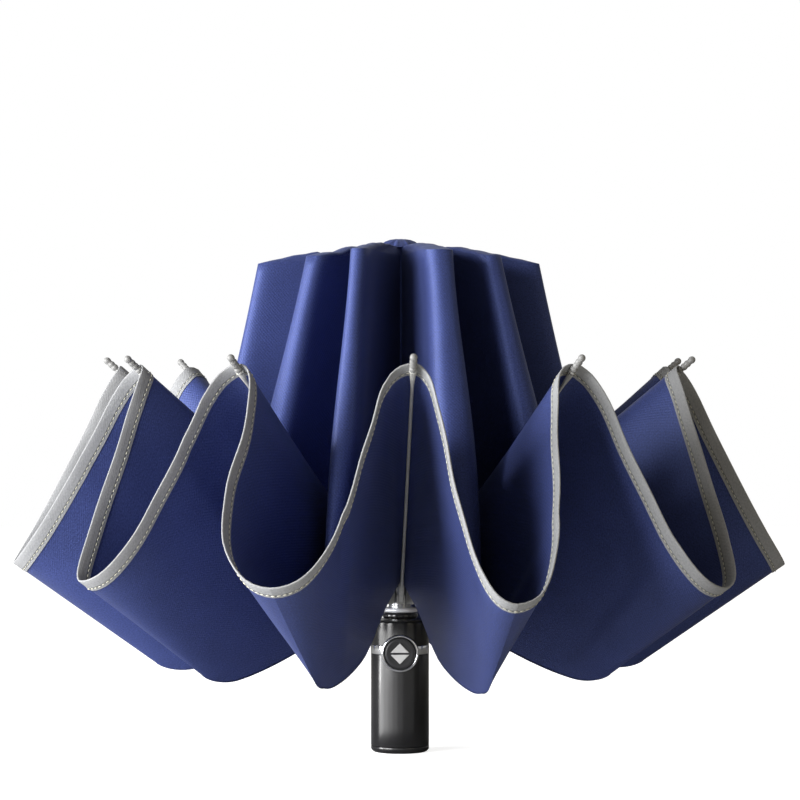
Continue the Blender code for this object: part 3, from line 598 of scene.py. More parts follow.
def prism(
    name: str, corners: Sequence[Triple], push: Triple,
    rounding: float, steps: int, matrix: Matrix, crease: float | None = None,
) -> bpy.types.Mesh:
    """Push a flat outline out into a block and round its edges.

    Args:
        name: The mesh's name.
        corners: The outline's corners.
        push: From the outline to the block's other end.
        rounding: Width of the rounds.
        steps: Steps on a round.
        matrix: Where the block goes.
        crease: As for finish_mesh. With none, only the pushed end is rounded.

    Returns:
        The mesh.
    """
    builder = bmesh.new()
    base = builder.faces.new([builder.verts.new(corner) for corner in corners])
    pushed = bmesh.ops.extrude_face_region(builder, geom=[base])["geom"]
    moved = [item for item in pushed if isinstance(item, bmesh.types.BMVert)]
    bmesh.ops.translate(builder, vec=push, verts=moved)
    bmesh.ops.recalc_face_normals(builder, faces=builder.faces)
    edges = [
        edge for edge in builder.edges
        if crease is not None or all(vertex in moved for vertex in edge.verts)
    ]
    bmesh.ops.bevel(
        builder, geom=edges, offset=rounding, segments=steps, profile=0.5, affect="EDGES"
    )
    return finish_mesh(builder, name, matrix, crease)


def rounded(outline: Outline, radius: float, steps: int = 4) -> list[Pair]:
    """Round the corners of a closed outline.

    Args:
        outline: Its corners.
        radius: How far from a corner the round starts.
        steps: Points on each round.

    Returns:
        The rounded outline.
    """
    longest_share = 0.45
    result: list[Pair] = []
    for index, corner in enumerate(outline):
        here = np.array(corner)
        ends = []
        for other in (outline[index - 1], outline[(index + 1) % len(outline)]):
            side = np.array(other) - here
            length = float(np.linalg.norm(side))
            ends.append(here + side / max(length, TINY) * min(radius, longest_share * length))
        for step in range(steps + 1):
            part = step / steps
            start, end = (1 - part) ** 2 * ends[0], part**2 * ends[1]
            point = start + 2 * part * (1 - part) * here + end
            result.append((float(max(point[0], 0.0)), float(point[1])))
    return result


def curve_along(name: str, path: Array) -> bpy.types.Object:
    """Put a curve through points in the scene.

    Args:
        name: The curve's name.
        path: Points, one to a row.

    Returns:
        The curve's object.
    """
    curve = bpy.data.curves.new(name, "CURVE")
    curve.dimensions = "3D"
    spline = curve.splines.new("POLY")
    spline.points.add(len(path) - 1)
    for point, place in zip(spline.points, path):
        point.co = (*place, 1.0)
    return put(f"{name}_path", curve)


def curve_piece(
    name: str, holder: bpy.types.Object, material: bpy.types.Material
) -> bpy.types.Object:
    """Make a smooth piece of what a curve shows.

    Args:
        name: The piece's name.
        holder: The curve's object, which is used up.
        material: The piece's finish.

    Returns:
        The object.
    """
    mesh = evaluated(holder)
    bpy.data.objects.remove(holder)
    mesh.shade_smooth()
    return link(name, mesh, material)


def sweep(name: str, path: Array, radius: float, material: bpy.types.Material) -> bpy.types.Object:
    """Run a round section of eight sides along a path.

    Args:
        name: The piece's name.
        path: Points, one to a row.
        radius: The section's radius.
        material: Its finish.

    Returns:
        The object.
    """
    holder = curve_along(name, path)
    holder.data.bevel_depth = radius
    holder.data.bevel_resolution = 1
    holder.data.use_fill_caps = True
    return curve_piece(name, holder, material)


def merge(name: str, pieces: Sequence[bpy.types.Object]) -> bpy.types.Object:
    """Join pieces into one object with the first one's finish.

    Args:
        name: The new piece's name.
        pieces: The pieces, which are used up.

    Returns:
        The joined object.
    """
    material = pieces[0].data.materials[0]
    builder = bmesh.new()
    for piece in pieces:
        builder.from_mesh(piece.data)
        bpy.data.objects.remove(piece)
    return link(name, finish_mesh(builder, name), material)


def label(piece: bpy.types.Object, slot: Slot, nodes: Sequence[str]) -> None:
    """Hide the CAD nodes that a piece stands for.

    Args:
        piece: The piece; not used.
        slot: The record's slot; not used.
        nodes: CAD nodes that it replaces.
    """
    if nodes:
        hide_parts(*nodes)


def settle(piece: bpy.types.Object, body: str, slot: Slot, *nodes: str) -> None:
    """Ride a piece on a body and hide the nodes that it stands for.

    Args:
        piece: The finished piece.
        body: The body's name.
        slot: The record's slot; not used.
        *nodes: CAD nodes that it replaces.
    """
    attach(piece, body)
    label(piece, slot, nodes)
    LOG.info("%s rides on %s", piece.name, body)


@dataclass(frozen=True)
class Form:
    """The gathered canopy's main sizes and the shares that shape it.

    Tables of ten have one value to a gore, or to a rib where their name says so. Those of
    turns are in degrees and those of drops, sags, puffs, rises, dents and widths in mm. A
    half gore is named by its gore and hand. The shape of a pleat's puff is its power
    across the gore, its greatest plain value and its size. The cut share is how much of a
    flat piece of cloth a panel uses up; it is not used.
    """

    bearings: Table = (2.4, 34.5, 74.4, 105.0, 149.0, 188.0, 232.0, 266.5, 298.4, 328.3)
    count: int = len(bearings)
    half_columns: int = 30
    cloth: float = 0.4 * MM
    cut_share: float = 0.8
    knee_radius: float = 16.0 * MM
    knee_height: float = 95.0 * MM
    rib_length: float = 213.5 * MM
    rib_lean: float = math.radians(48.6)
    wire_radius: float = 1.0 * MM
    tip_socket: float = 3.5 * MM
    crown_hole: float = 8.2 * MM
    crown_height: float = 312.5 * MM
    valley_radius: float = 12.8 * MM
    valley_top: float = 307.0 * MM
    rib_valley_half_widths: Table = (0.7, 0.7, 0.7, 0.7, 0.7, 0.7, 0.7, 1.3, 1.3, 0.7)
    fold_height: float = 106.0 * MM
    shoulder_radius: float = 88.0 * MM
    shoulder_height: float = 302.0 * MM
    waist_radius: float = 98.0 * MM
    waist_height: float = 240.0 * MM
    lobe_radius: float = 143.0 * MM
    lobe_height: float = 51.0 * MM
    lobe_sags: Table = (0.0, 8.0, 8.0, 8.0, 8.0, 8.0, 8.0, 8.0, 8.0, 0.0)
    lobe_onset: float = 0.4
    lobe_corner_start: float = 0.74
    lobe_corner_share: float = 0.085
    lobe_turns: Table = (2.0, 2.0, 0.0, 0.0, 0.0, 0.0, -3.0, -4.5, -4.0, -4.4)
    lobe_drops: Table = (3.0, 0.0, 0.0, 0.0, 0.0, 0.0, 0.0, 0.0, 0.0, 0.0)
    lobe_rounding: float = 1.5
    lobe_bottom_roundings: Table = (2.85, 1.7, 1.5, 1.5, 1.5, 1.5, 1.5, 1.5, 1.7, 2.85)
    rim_radius: float = 231.0 * MM
    rim_height: float = 108.0 * MM
    rim_turns: Table = (-2.2, 0.0, -1.2, 0.0, 0.0, 0.0, -3.4, -5.4, -6.0, -3.3)
    rim_radius_shares: Table = (1.0, 1.0, 1.03, 1.0, 0.98, 1.0, 1.0, 1.03, 1.0, 1.0)
    rim_height_shares: Table = (0.99, 1.02, 1.08, 1.05, 1.0, 1.0, 1.0, 1.1, 1.06, 1.07)
    skirt_lift: float = 2.75 * MM
    skirt_opening_share: float = 0.05
    sheet_spacing: float = 2.3 * MM
    spacing_onset: float = 0.1
    tip_tent: float = 2.6 * MM
    tip_tent_share: float = 0.045
    turn_drop: float = 1.1 * MM
    turn_start: float = 0.13
    pleat_radius_shares: Table = (0.98, 0.92, 0.98, 0.97, 1.0, 1.0, 0.98, 1.0, 0.92, 1.0)
    pleat_turns: Table = (-1.0, -8.0, -4.2, -4.2, -3.0, -3.5, -3.4, -7.0, 5.0, -2.4)
    pleat_puffs: Table = (9.5, 8.0, 6.5, 8.0, 9.0, 8.0, 7.0, 6.5, 8.5, 6.5)
    shoulder_rises: Table = (5.5, 3.0, 0.0, 0.0, 5.0, 6.0, 1.0, 0.0, 2.5, 6.0)
    shoulder_rounding: float = 1.12
    shelf_dents: Table = (0.0, 2.4, 3.2, 0.0, 1.5, 0.0, 1.0, 3.4, 1.8, 0.0)
    shelf_dent_radii: Table = (40.0, 34.0, 31.0, 40.0, 46.0, 40.0, 52.0, 44.0, 60.0, 40.0)
    way_shares: Table = (0.0, 0.04, 0.1, 0.2, 0.34, 0.5, 0.68, 0.86, 1.0)
    side_shares: Table = (0.0, 0.1, 0.2, 0.29, 0.38, 0.48, 0.6, 0.78, 1.0)
    drop_shares: Table = (0.0, 0.0, 0.035, 0.13, 0.32, 0.55, 0.78, 0.95, 1.0)
    out_shares: Table = (0.0, 0.02, 0.08, 0.18, 0.34, 0.55, 0.77, 0.95, 1.0)
    late_side_shares: Table = (0.0, 0.1, 0.2, 0.29, 0.3, 0.25, 0.34, 0.66, 1.0)
    late_half: Pair = (9, 1.0)
    full_half: Pair = (0, 1.0)
    puff_shape: Triple = (2.4, 0.72, 1.0)
    full_puff_shape: Triple = (1.15, 0.84, 1.25)


def polar(degrees: Array | float, radius: Array | float, height: Array | float) -> Array:
    """Points from bearings to the viewer, radii and heights.

    Args:
        degrees: Bearings.
        radius: Radii in metres.
        height: Heights in metres.

    Returns:
        Points, one to a row.
    """
    angle = np.radians(degrees) - math.pi / 2.0
    parts = np.broadcast_arrays(radius * np.cos(angle), radius * np.sin(angle), height)
    return np.stack(parts, axis=-1)


def rib_frame(index: int) -> Matrix:
    """The upright frame of a rib, x outward."""
    return Matrix.Rotation(math.radians(Form.bearings[index]) - math.pi / 2.0, 4, "Z")


def rib_turn(index: int) -> Array:
    """The same frame as a 3 x 3 array."""
    return np.array(rib_frame(index).to_3x3())


def wire_frame(index: int) -> Matrix:
    """The frame of an outer rib at its knee, z along the wire."""
    knee = Matrix.Translation((Form.knee_radius, 0.0, Form.knee_height))
    return rib_frame(index) @ knee @ Matrix.Rotation(Form.rib_lean, 4, "Y")


def smooth_share(table: Table, way: Array, level_end: bool = False) -> Array:
    """Read a table of shares along a gore with a smooth curve.

    Args:
        table: The shares, at Form.way_shares.
        way: Ways from 0 at the rib to 1 at the gore's middle.
        level_end: Whether the curve runs level into the gore's middle.

    Returns:
        The shares there.
    """
    ways, values = np.array(Form.way_shares), np.array(table)
    wide, tall = np.pad(ways, 1, "edge"), np.pad(values, 1, "edge")
    slopes = (tall[2:] - tall[:-2]) / (wide[2:] - wide[:-2])
    if level_end:
        slopes[-1] = 0.0
    step = np.clip(np.searchsorted(ways, way, side="right") - 1, 0, len(ways) - 2)
    span = ways[step + 1] - ways[step]
    part = (way - ways[step]) / span
    rest = 1.0 - part
    bend = part * rest * span * (slopes[step] * rest - slopes[step + 1] * part)
    return values[step] + (values[step + 1] - values[step]) * eased(part) + bend


@dataclass(frozen=True)
class HalfGore:
    """One rib's side of a gore: where its cloth folds, pleats and ends.

    Args:
        gore: The gore's index.
        rib: The rib's index.
        hand: 1 for the side towards greater bearings, -1 for the other.
    """

    gore: int
    rib: int
    hand: float

    @property
    def middle(self) -> float:
        """Bearing of the gore's middle."""
        first = Form.bearings[self.gore]
        second = Form.bearings[(self.gore + 1) % Form.count]
        return (first + second + (360.0 if second < first else 0.0)) * 0.5

    def _valley(self, opening: Array, height: float) -> Array:
        """Points beside the rib where this half's cloth starts.

        Args:
            opening: How far open the valley stands at each of them, 0 to 1.
            height: Their height.

        Returns:
            Points.
        """
        across = self.hand * Form.rib_valley_half_widths[self.rib] * MM * opening
        local = np.stack(np.broadcast_arrays(Form.valley_radius, across, height), axis=-1)
        return local @ rib_turn(self.rib).T

    def _pushed(
        self, start: Array, end: Array, way: Array, bearing: float, rounding: float
    ) -> Array:
        """Points from a start to an end, swelling out towards a rounded end.

        Args:
            start: Points at way 0.
            end: The point at way 1.
            way: Ways across the half gore.
            bearing: The way out.
            rounding: Power of the round, 1 for none.

        Returns:
            Points.
        """
        axis = polar(bearing, 1.0, 0.0)
        outward = 1.0 - (1.0 - way) ** rounding
        reach = (end - start) @ axis
        return start + (end - start) * way[..., None] + axis * (reach * (outward - way))[..., None]

    def fold(self, way: Array, opening: Array) -> Array:
        """The line where the canopy turns up into its skirt.

        Args:
            way: Ways across the half gore.
            opening: How far open the valley stands at each way, 0 to 1.

        Returns:
            Points.
        """
        start = self._valley(opening, Form.fold_height)
        bearing = self.middle + Form.lobe_turns[self.gore]
        low = Form.lobe_height - Form.lobe_drops[self.gore] * MM
        end = polar(bearing, Form.lobe_radius, low)
        point = self._pushed(start, end, way, bearing, Form.lobe_rounding)
        arch = 4.0 * way * (1.0 - way) * (1.0 - way * 0.5)
        point[..., 2] -= Form.lobe_sags[self.gore] * MM * arch
        drop = 1.0 - (1.0 - way) ** Form.lobe_bottom_roundings[self.gore] - way
        begun = eased(np.minimum(way / Form.lobe_onset, 1.0))
        point[..., 2] += (low - Form.fold_height) * drop * begun
        past = (way - Form.lobe_corner_start) / (1.0 - Form.lobe_corner_start)
        turned_up = Form.lobe_corner_share * np.clip(past, 0.0, 1.0) ** 2
        return point + (self.rim(np.array([1.0]))[0] - end) * turned_up[..., None]

    def shoulder(self, way: Array) -> Array:
        """The creased top edge of the pleat.

        Args:
            way: Ways across the half gore.

        Returns:
            Points.
        """
        bearing = self.middle + Form.pleat_turns[self.gore]
        radius = Form.shoulder_radius * Form.pleat_radius_shares[self.gore]
        end = polar(bearing, radius, Form.shoulder_height + Form.shoulder_rises[self.gore] * MM)
        start = self._valley(np.ones_like(way), Form.valley_top)
        point = self._pushed(start, end, way, bearing, Form.shoulder_rounding)
        return point + self.aside(bearing) * self.puff(way)[..., None]

    def aside(self, bearing: float) -> Array:
        """The level direction from the pleat's middle plane towards this half's rib."""
        return polar(bearing + 90.0, 1.0, 0.0) * -self.hand

    def puff(self, way: Array) -> Array:
        """How far the pleat's wall stands off its middle plane, rounded at its outer end.

        Args:
            way: Ways across the half gore.

        Returns:
            Distances.
        """
        full = (self.gore, self.hand) == Form.full_half
        power, peak, size = Form.full_puff_shape if full else Form.puff_shape
        shape = way**power * np.sqrt(np.maximum(1.0 - way**6, 0.0)) / peak
        return Form.pleat_puffs[self.gore] * MM * shape * size

    def rim(self, way: Array) -> Array:
        """The free edge from the tip to the gore's middle.

        Args:
            way: Ways across the half gore.

        Returns:
            Points.
        """
        lean_out, lean_up = math.sin(Form.rib_lean), math.cos(Form.rib_lean)
        along = Form.rib_length - Form.tip_socket * 0.5
        radius_in = Form.knee_radius + along * lean_out - Form.skirt_lift * lean_up
        height_in = Form.knee_height + along * lean_up + Form.skirt_lift * lean_out
        radius_out = Form.rim_radius * Form.rim_radius_shares[self.gore]
        height_out = Form.rim_height * Form.rim_height_shares[self.gore]
        first = Form.bearings[self.rib]
        turn = (self.middle + Form.rim_turns[self.gore] - first + 180.0) % 360.0 - 180.0
        late = (self.gore, self.hand) == Form.late_half
        side = smooth_share(Form.late_side_shares if late else Form.side_shares, way)
        drop = smooth_share(Form.drop_shares, way, level_end=True)
        out = smooth_share(Form.out_shares, way, level_end=True)
        tent = Form.tip_tent * np.exp(-((way / Form.tip_tent_share) ** 2))
        radius = radius_in + (radius_out - radius_in) * out + tent * lean_out
        height = height_in + (height_out - height_in) * drop + tent * lean_up
        return polar(first + turn * side, radius, height)

    def rim_heading(self) -> Array:
        """The rim's level direction at the gore's middle, towards greater bearings."""
        return polar(self.middle + Form.rim_turns[self.gore] + 90.0, 1.0, 0.0)

    def skirt_line(self, way: Array) -> tuple[Array, Array]:
        """Both ends of the skirt's straight lines.

        Args:
            way: Ways across the half gore.

        Returns:
            Points at the fold and points at the rim.
        """
        low = self.fold(way, np.minimum(way / Form.skirt_opening_share, 1.0))
        sideways = rib_turn(self.rib) @ np.array((0.0, -self.hand, 0.0))
        begun = np.minimum(way / Form.spacing_onset, 1.0)
        shift = Form.sheet_spacing * begun * (1.0 - way**3)
        return low + sideways * shift[..., None], self.rim(way)


def sheet_mesh(
    name: str, points: Array, across: Array, along: Array, closed: bool = False
) -> bpy.types.Mesh:
    """Make a sheet's mesh from a grid, with a UV map in metres.

    Args:
        name: The mesh's name.
        points: Grid of points: rows, columns, 3.
        across: UV x of each column, with one more where the sheet closes.
        along: UV y of each row.
        closed: Whether the last column meets the first.

    Returns:
        The mesh.
    """
    rows, columns = points.shape[:2]
    faces: list[list[int]] = []
    corners: list[tuple[int, int]] = []
    for row in range(rows - 1):
        for column in range(columns if closed else columns - 1):
            ahead = column + 1
            cell = [(row, column), (row, ahead), (row + 1, ahead), (row + 1, column)]
            corners += cell
            faces.append([line * columns + place % columns for line, place in cell])
    mesh = bpy.data.meshes.new(name)
    mesh.from_pydata(points.reshape(-1, 3).tolist(), [], faces)
    layer = mesh.uv_layers.new(name="cut")
    picked = np.array(corners)
    flat = np.stack((across[picked[:, 1]], along[picked[:, 0]]), axis=-1)
    layer.data.foreach_set("uv", flat.astype(np.float32).ravel())
    mesh.shade_smooth()
    return mesh


def thicken(piece: bpy.types.Object, thickness: float) -> None:
    """Give a sheet its thickness, half to each side, with crisp cut edges.

    Args:
        piece: The sheet.
        thickness: Metres.
    """
    change = piece.modifiers.new("thickness", "SOLIDIFY")
    change.thickness = thickness
    change.offset = 0.0
    apply_modifiers(piece, 65.0)


class StitchTree:
    """Geometry Nodes that lay a row of stitches along a curve."""

    KINDS = {"Pitch": "Float", "Length": "Float", "Radius": "Float", "Thread": "Material"}

    def __init__(self) -> None:
        """Build the tree with its named inputs."""
        tree = bpy.data.node_groups.new("stitch_row", "GeometryNodeTree")
        geometry = "NodeSocketGeometry"
        tree.interface.new_socket("Geometry", in_out="INPUT", socket_type=geometry)
        self.inputs = {
            name: tree.interface.new_socket(
                name, in_out="INPUT", socket_type=f"NodeSocket{kind}"
            ).identifier
            for name, kind in self.KINDS.items()
        }
        tree.interface.new_socket("Geometry", in_out="OUTPUT", socket_type=geometry)
        self.tree = tree
        wire = Wiring(tree)
        source = wire.node("NodeGroupInput")
        points = wire.node(
            "GeometryNodeResampleCurve",
            {"Curve": source["Geometry"], "Length": source["Pitch"]}, mode="LENGTH",
        )
        stitch = wire.node("GeometryNodeMeshIcoSphere", {"Subdivisions": 1, "Radius": 1.0})
        half = wire.math("MULTIPLY", source["Length"], 0.5)
        sizes = {"X": source["Radius"], "Y": source["Radius"], "Z": half}
        heading = wire.node("GeometryNodeInputTangent")["Tangent"]
        turn = wire.node("FunctionNodeAlignRotationToVector", {"Vector": heading}, axis="Z")
        placed = wire.node("GeometryNodeInstanceOnPoints", {
            "Points": points["Curve"],
            "Instance": stitch["Mesh"],
            "Rotation": turn["Rotation"],
            "Scale": wire.node("ShaderNodeCombineXYZ", sizes)["Vector"],
        })
        real = wire.node("GeometryNodeRealizeInstances", {"Geometry": placed["Instances"]})
        painted = wire.node(
            "GeometryNodeSetMaterial",
            {"Geometry": real["Geometry"], "Material": source["Thread"]},
        )
        wire.node("NodeGroupOutput", {"Geometry": painted["Geometry"]})

    def row(
        self, name: str, path: Array, pitch: float, length: float, radius: float,
        material: bpy.types.Material,
    ) -> bpy.types.Object:
        """Sew one row.

        Args:
            name: The piece's name.
            path: Points of the row.
            pitch: From stitch to stitch.
            length: Of a stitch.
            radius: Of the thread.
            material: The thread's finish.

        Returns:
            The row as a plain mesh object.
        """
        holder = curve_along(name, path)
        change = holder.modifiers.new("stitches", "NODES")
        change.node_group = self.tree
        for identifier, value in zip(self.inputs.values(), (pitch, length, radius, material)):
            change[identifier] = value
        holder.update_tag()
        return curve_piece(name, holder, material)


@dataclass
class Handle:
    """The grip: shell, base cap, collar, ring, band, bezel, push button and its spring.

    The collar's outline is in mm, as radius and height above its foot. The button's rim is
    in mm in from its edge and down from its face. Each edge of the bezel is a width and a
    depth. The opening's tool starts and ends at its two depths from the axis.
    """

    wardrobe: Wardrobe
    radius: float = 18.0 * MM
    height: float = 82.0 * MM
    wall: float = 2.0 * MM
    sides: int = 128
    cap_height: float = 4.0 * MM
    plug_height: float = 2.0 * MM
    well_radius: float = 12.3 * MM
    well_top: float = 15.0 * MM
    post_top: float = 9.7 * MM
    edge: float = 1.6 * MM
    neck: float = 7.3 * MM
    collar_outline: Outline = (
        (7.3, 0.0), (7.3, 4.0), (9.6, 4.0), (11.0, 3.0), (11.0, 1.2), (10.2, 0.9), (10.2, 0.0),
    )
    ring_radii: Pair = (11.0 * MM, 11.6 * MM)
    band_low: float = 60.8 * MM
    band_height: float = 5.6 * MM
    band_depth: float = 0.9 * MM
    band_proud: float = 0.15 * MM
    button_height: float = 62.0 * MM
    bezel_radius: float = 11.5 * MM
    bezel_proud: float = 1.1 * MM
    bezel_back: float = 14.8 * MM
    bezel_outer_edge: Pair = (0.6 * MM, 0.5 * MM)
    bezel_inner_edge: Pair = (0.7 * MM, 0.9 * MM)
    opening_depths: Pair = (11.0 * MM, 31.0 * MM)
    button_radius: float = 9.4 * MM
    button_rim: Outline = ((0.0, 0.7), (0.5, 0.15), (1.6, 0.0), (2.2, 0.18))
    button_dish: float = 0.05 * MM
    button_travel: float = 2.5 * MM
    arrow_width: float = 11.5 * MM
    arrow_rise: float = 5.8 * MM
    arrow_gap: float = 1.2 * MM
    arrow_sunk: float = 0.1 * MM
    arrow_rounding: float = 0.25 * MM
    spring_wire: float = 0.28 * MM
    spring_turns: int = 3
    spring_steps: int = 16
    spring_least: float = 0.12
    gap: float = 0.3 * MM

    def build(self) -> None:
        """Build and settle every piece of the grip."""
        self._shell()
        self._fittings()
        self._trim()
        self._button()
        self._spring()

    def _front(self, depth: float) -> Matrix:
        """A frame whose z runs out of the handle's front."""
        place = Matrix.Translation((0.0, -depth, self.button_height))
        return place @ Matrix.Rotation(math.pi / 2.0, 4, "X")

    def _pierced(self, piece: bpy.types.Object) -> None:
        """Cut the button's round opening out of a piece.

        Args:
            piece: The piece.
        """
        start, end = self.opening_depths
        edge = self.bezel_radius + self.gap * 0.5
        outline = [(0.0, 0.0), (edge, 0.0), (edge, end - start), (0.0, end - start)]
        finish = self.wardrobe["handle"]
        tool = lathe("opening_tool", outline, finish, self._front(start), closed=False)
        cut = piece.modifiers.new("opening", "BOOLEAN")
        cut.object = tool
        cut.solver = "EXACT"
        apply_modifiers(piece, 40.0)
        bpy.data.objects.remove(tool)

    def _shell(self) -> None:
        """The satin shell and the cap under it."""
        bore = self.radius - self.wall
        groove = self.radius - self.band_depth
        band_top = self.band_low + self.band_height
        small = self.edge * 0.3
        finish = self.wardrobe["handle"]
        outline = [
            (self.neck, self.height), (self.radius - self.edge, self.height),
            (self.radius - small, self.height - small), (self.radius, self.height - self.edge),
            (self.radius, band_top), (groove, band_top), (groove, self.band_low),
            (self.radius, self.band_low), (self.radius, self.cap_height),
            (bore, self.cap_height), (bore, self.height - self.wall),
            (self.neck, self.height - self.wall),
        ]
        shell = lathe("grip_shell", rounded(outline, 0.25 * MM, 3), finish, sides=self.sides)
        self._pierced(shell)
        settle(shell, Body.HANDLE.value, Slot.HANDLE, "handle_shell")
        top = self.cap_height - self.gap * 0.4
        plug = bore - self.gap
        outline = [
            (0.0, 0.0), (self.radius - self.edge, 0.0), (self.radius, self.edge),
            (self.radius, top), (plug, top), (plug, top + self.plug_height),
            (self.well_radius, top + self.plug_height), (self.well_radius, self.well_top),
            (self.neck, self.well_top), (self.neck, self.post_top), (0.0, self.post_top),
        ]
        cap = rounded(outline, 0.7 * MM)
        body = lathe("grip_base_cap", cap, finish, sides=self.sides, closed=False)
        settle(body, Body.HANDLE.value, Slot.CAP, "base_cap")

    def _fittings(self) -> None:
        """Collar and bright ring."""
        collar = rounded(in_metres(self.collar_outline, self.height + self.gap), 0.4 * MM, 3)
        piece = lathe("grip_collar", collar, self.wardrobe["collar"])
        settle(piece, Body.HANDLE.value, Slot.COLLAR, "top_collar")
        low, high = (corner[2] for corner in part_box("collar_ring"))
        edge, swell = self.ring_radii
        ring = [
            (self.neck, low), (self.neck, high), (edge, high), (swell, (low + high) * 0.5),
            (edge, low),
        ]
        piece = lathe("bright_ring", rounded(ring, 0.5 * MM), self.wardrobe["ring"])
        settle(piece, Body.HANDLE.value, Slot.RING, "collar_ring")

    def _trim(self) -> None:
        """Chrome band and bezel."""
        chrome = self.wardrobe["chrome"]
        inner = self.radius - self.band_depth + self.gap * 0.5
        outer = self.radius + self.band_proud
        low = self.band_low + self.gap * 0.5
        high = self.band_low + self.band_height - self.gap * 0.5
        section = rounded([(outer, high), (outer, low), (inner, low), (inner, high)], 0.3 * MM, 3)
        band = lathe("chrome_band", section, chrome, sides=self.sides)
        self._pierced(band)
        settle(band, Body.HANDLE.value, Slot.CHROME, "trim_band")
        front = self.radius + self.bezel_proud
        bore = self.button_radius + self.gap
        outer_edge, inner_edge = self.bezel_outer_edge, self.bezel_inner_edge
        bezel = [
            (self.bezel_radius, self.bezel_back), (self.bezel_radius, front - outer_edge[1]),
            (self.bezel_radius - outer_edge[0], front), (bore + inner_edge[0], front),
            (bore, front - inner_edge[1]), (bore, self.bezel_back),
        ]
        section = rounded(bezel, 0.35 * MM)
        piece = lathe("button_chrome_bezel", section, chrome, self._front(0.0))
        settle(piece, Body.HANDLE.value, Slot.CHROME, "button_bezel")

    def _button(self) -> None:
        """The domed button and its two raised arrows."""
        low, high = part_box("button_cap")
        face = -low[1]
        dish = [(0.0, -high[1]), (self.button_radius, -high[1])]
        for inset, depth in self.button_rim:
            dish.append((self.button_radius - inset * MM, face - depth * MM))
        dish.append((0.0, face - self.button_dish))
        front = self._front(0.0)
        cap = lathe("push_button", dish, self.wardrobe["button"], front, closed=False)
        settle(cap, Body.BUTTON.value, Slot.BUTTON, "button_cap")
        foot = face - self.arrow_sunk
        for name, sign in (("arrow_up", 1.0), ("arrow_down", -1.0)):
            base = sign * self.arrow_gap * 0.5
            peak = sign * (self.arrow_gap * 0.5 + self.arrow_rise)
            half = self.arrow_width * 0.5
            corners = [(-half, base, foot), (half, base, foot), (0.0, peak, foot)]
            rise = -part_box(name)[0][1] - foot
            mesh = prism(
                f"{name}_raised", corners[:: int(sign)], (0.0, 0.0, rise),
                self.arrow_rounding, 3, front,
            )
            piece = link(mesh.name, mesh, self.wardrobe["arrow"])
            settle(piece, Body.BUTTON.value, Slot.ARROW, name)

    def _spring(self) -> None:
        """The coil behind the button."""
        low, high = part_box("button_spring")
        length = high[1] - low[1]
        middle = (low[2] + high[2]) * 0.5
        radius = (high[0] - low[0]) * 0.5 - self.spring_wire
        share = np.linspace(0.0, 1.0, self.spring_turns * self.spring_steps + 1)
        angle = share * self.spring_turns * 2.0 * math.pi
        depth = high[1] - self.spring_wire - share * (length - 2.0 * self.spring_wire)
        path = (radius * np.cos(angle), depth, middle + radius * np.sin(angle))
        steel = self.wardrobe["steel"]
        coil = sweep("coil_spring", np.stack(path, axis=-1), self.spring_wire, steel)
        settle(coil, Body.HANDLE.value, Slot.POLE, "button_spring")
        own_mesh(coil)


@dataclass
class Pole:
    """Three smooth nested tubes."""

    wardrobe: Wardrobe
    wall: float = 0.6 * MM
    edge: float = 0.15 * MM

    def build(self) -> None:
        """Turn each tube from its CAD node's box."""
        riders = {"pole_lower": Body.HANDLE, "pole_mid": Body.POLE_MID, "pole_upper": Body.CROWN}
        for node, body in riders.items():
            low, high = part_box(node)
            outer = (high[0] - low[0]) * 0.5
            bore = outer - self.wall
            outline = [(outer, high[2]), (outer, low[2]), (bore, low[2]), (bore, high[2])]
            section = rounded(outline, self.edge, 2)
            piece = lathe(f"{node}_tube", section, self.wardrobe["steel"], sides=64)
            settle(piece, body.value, Slot.POLE, node)


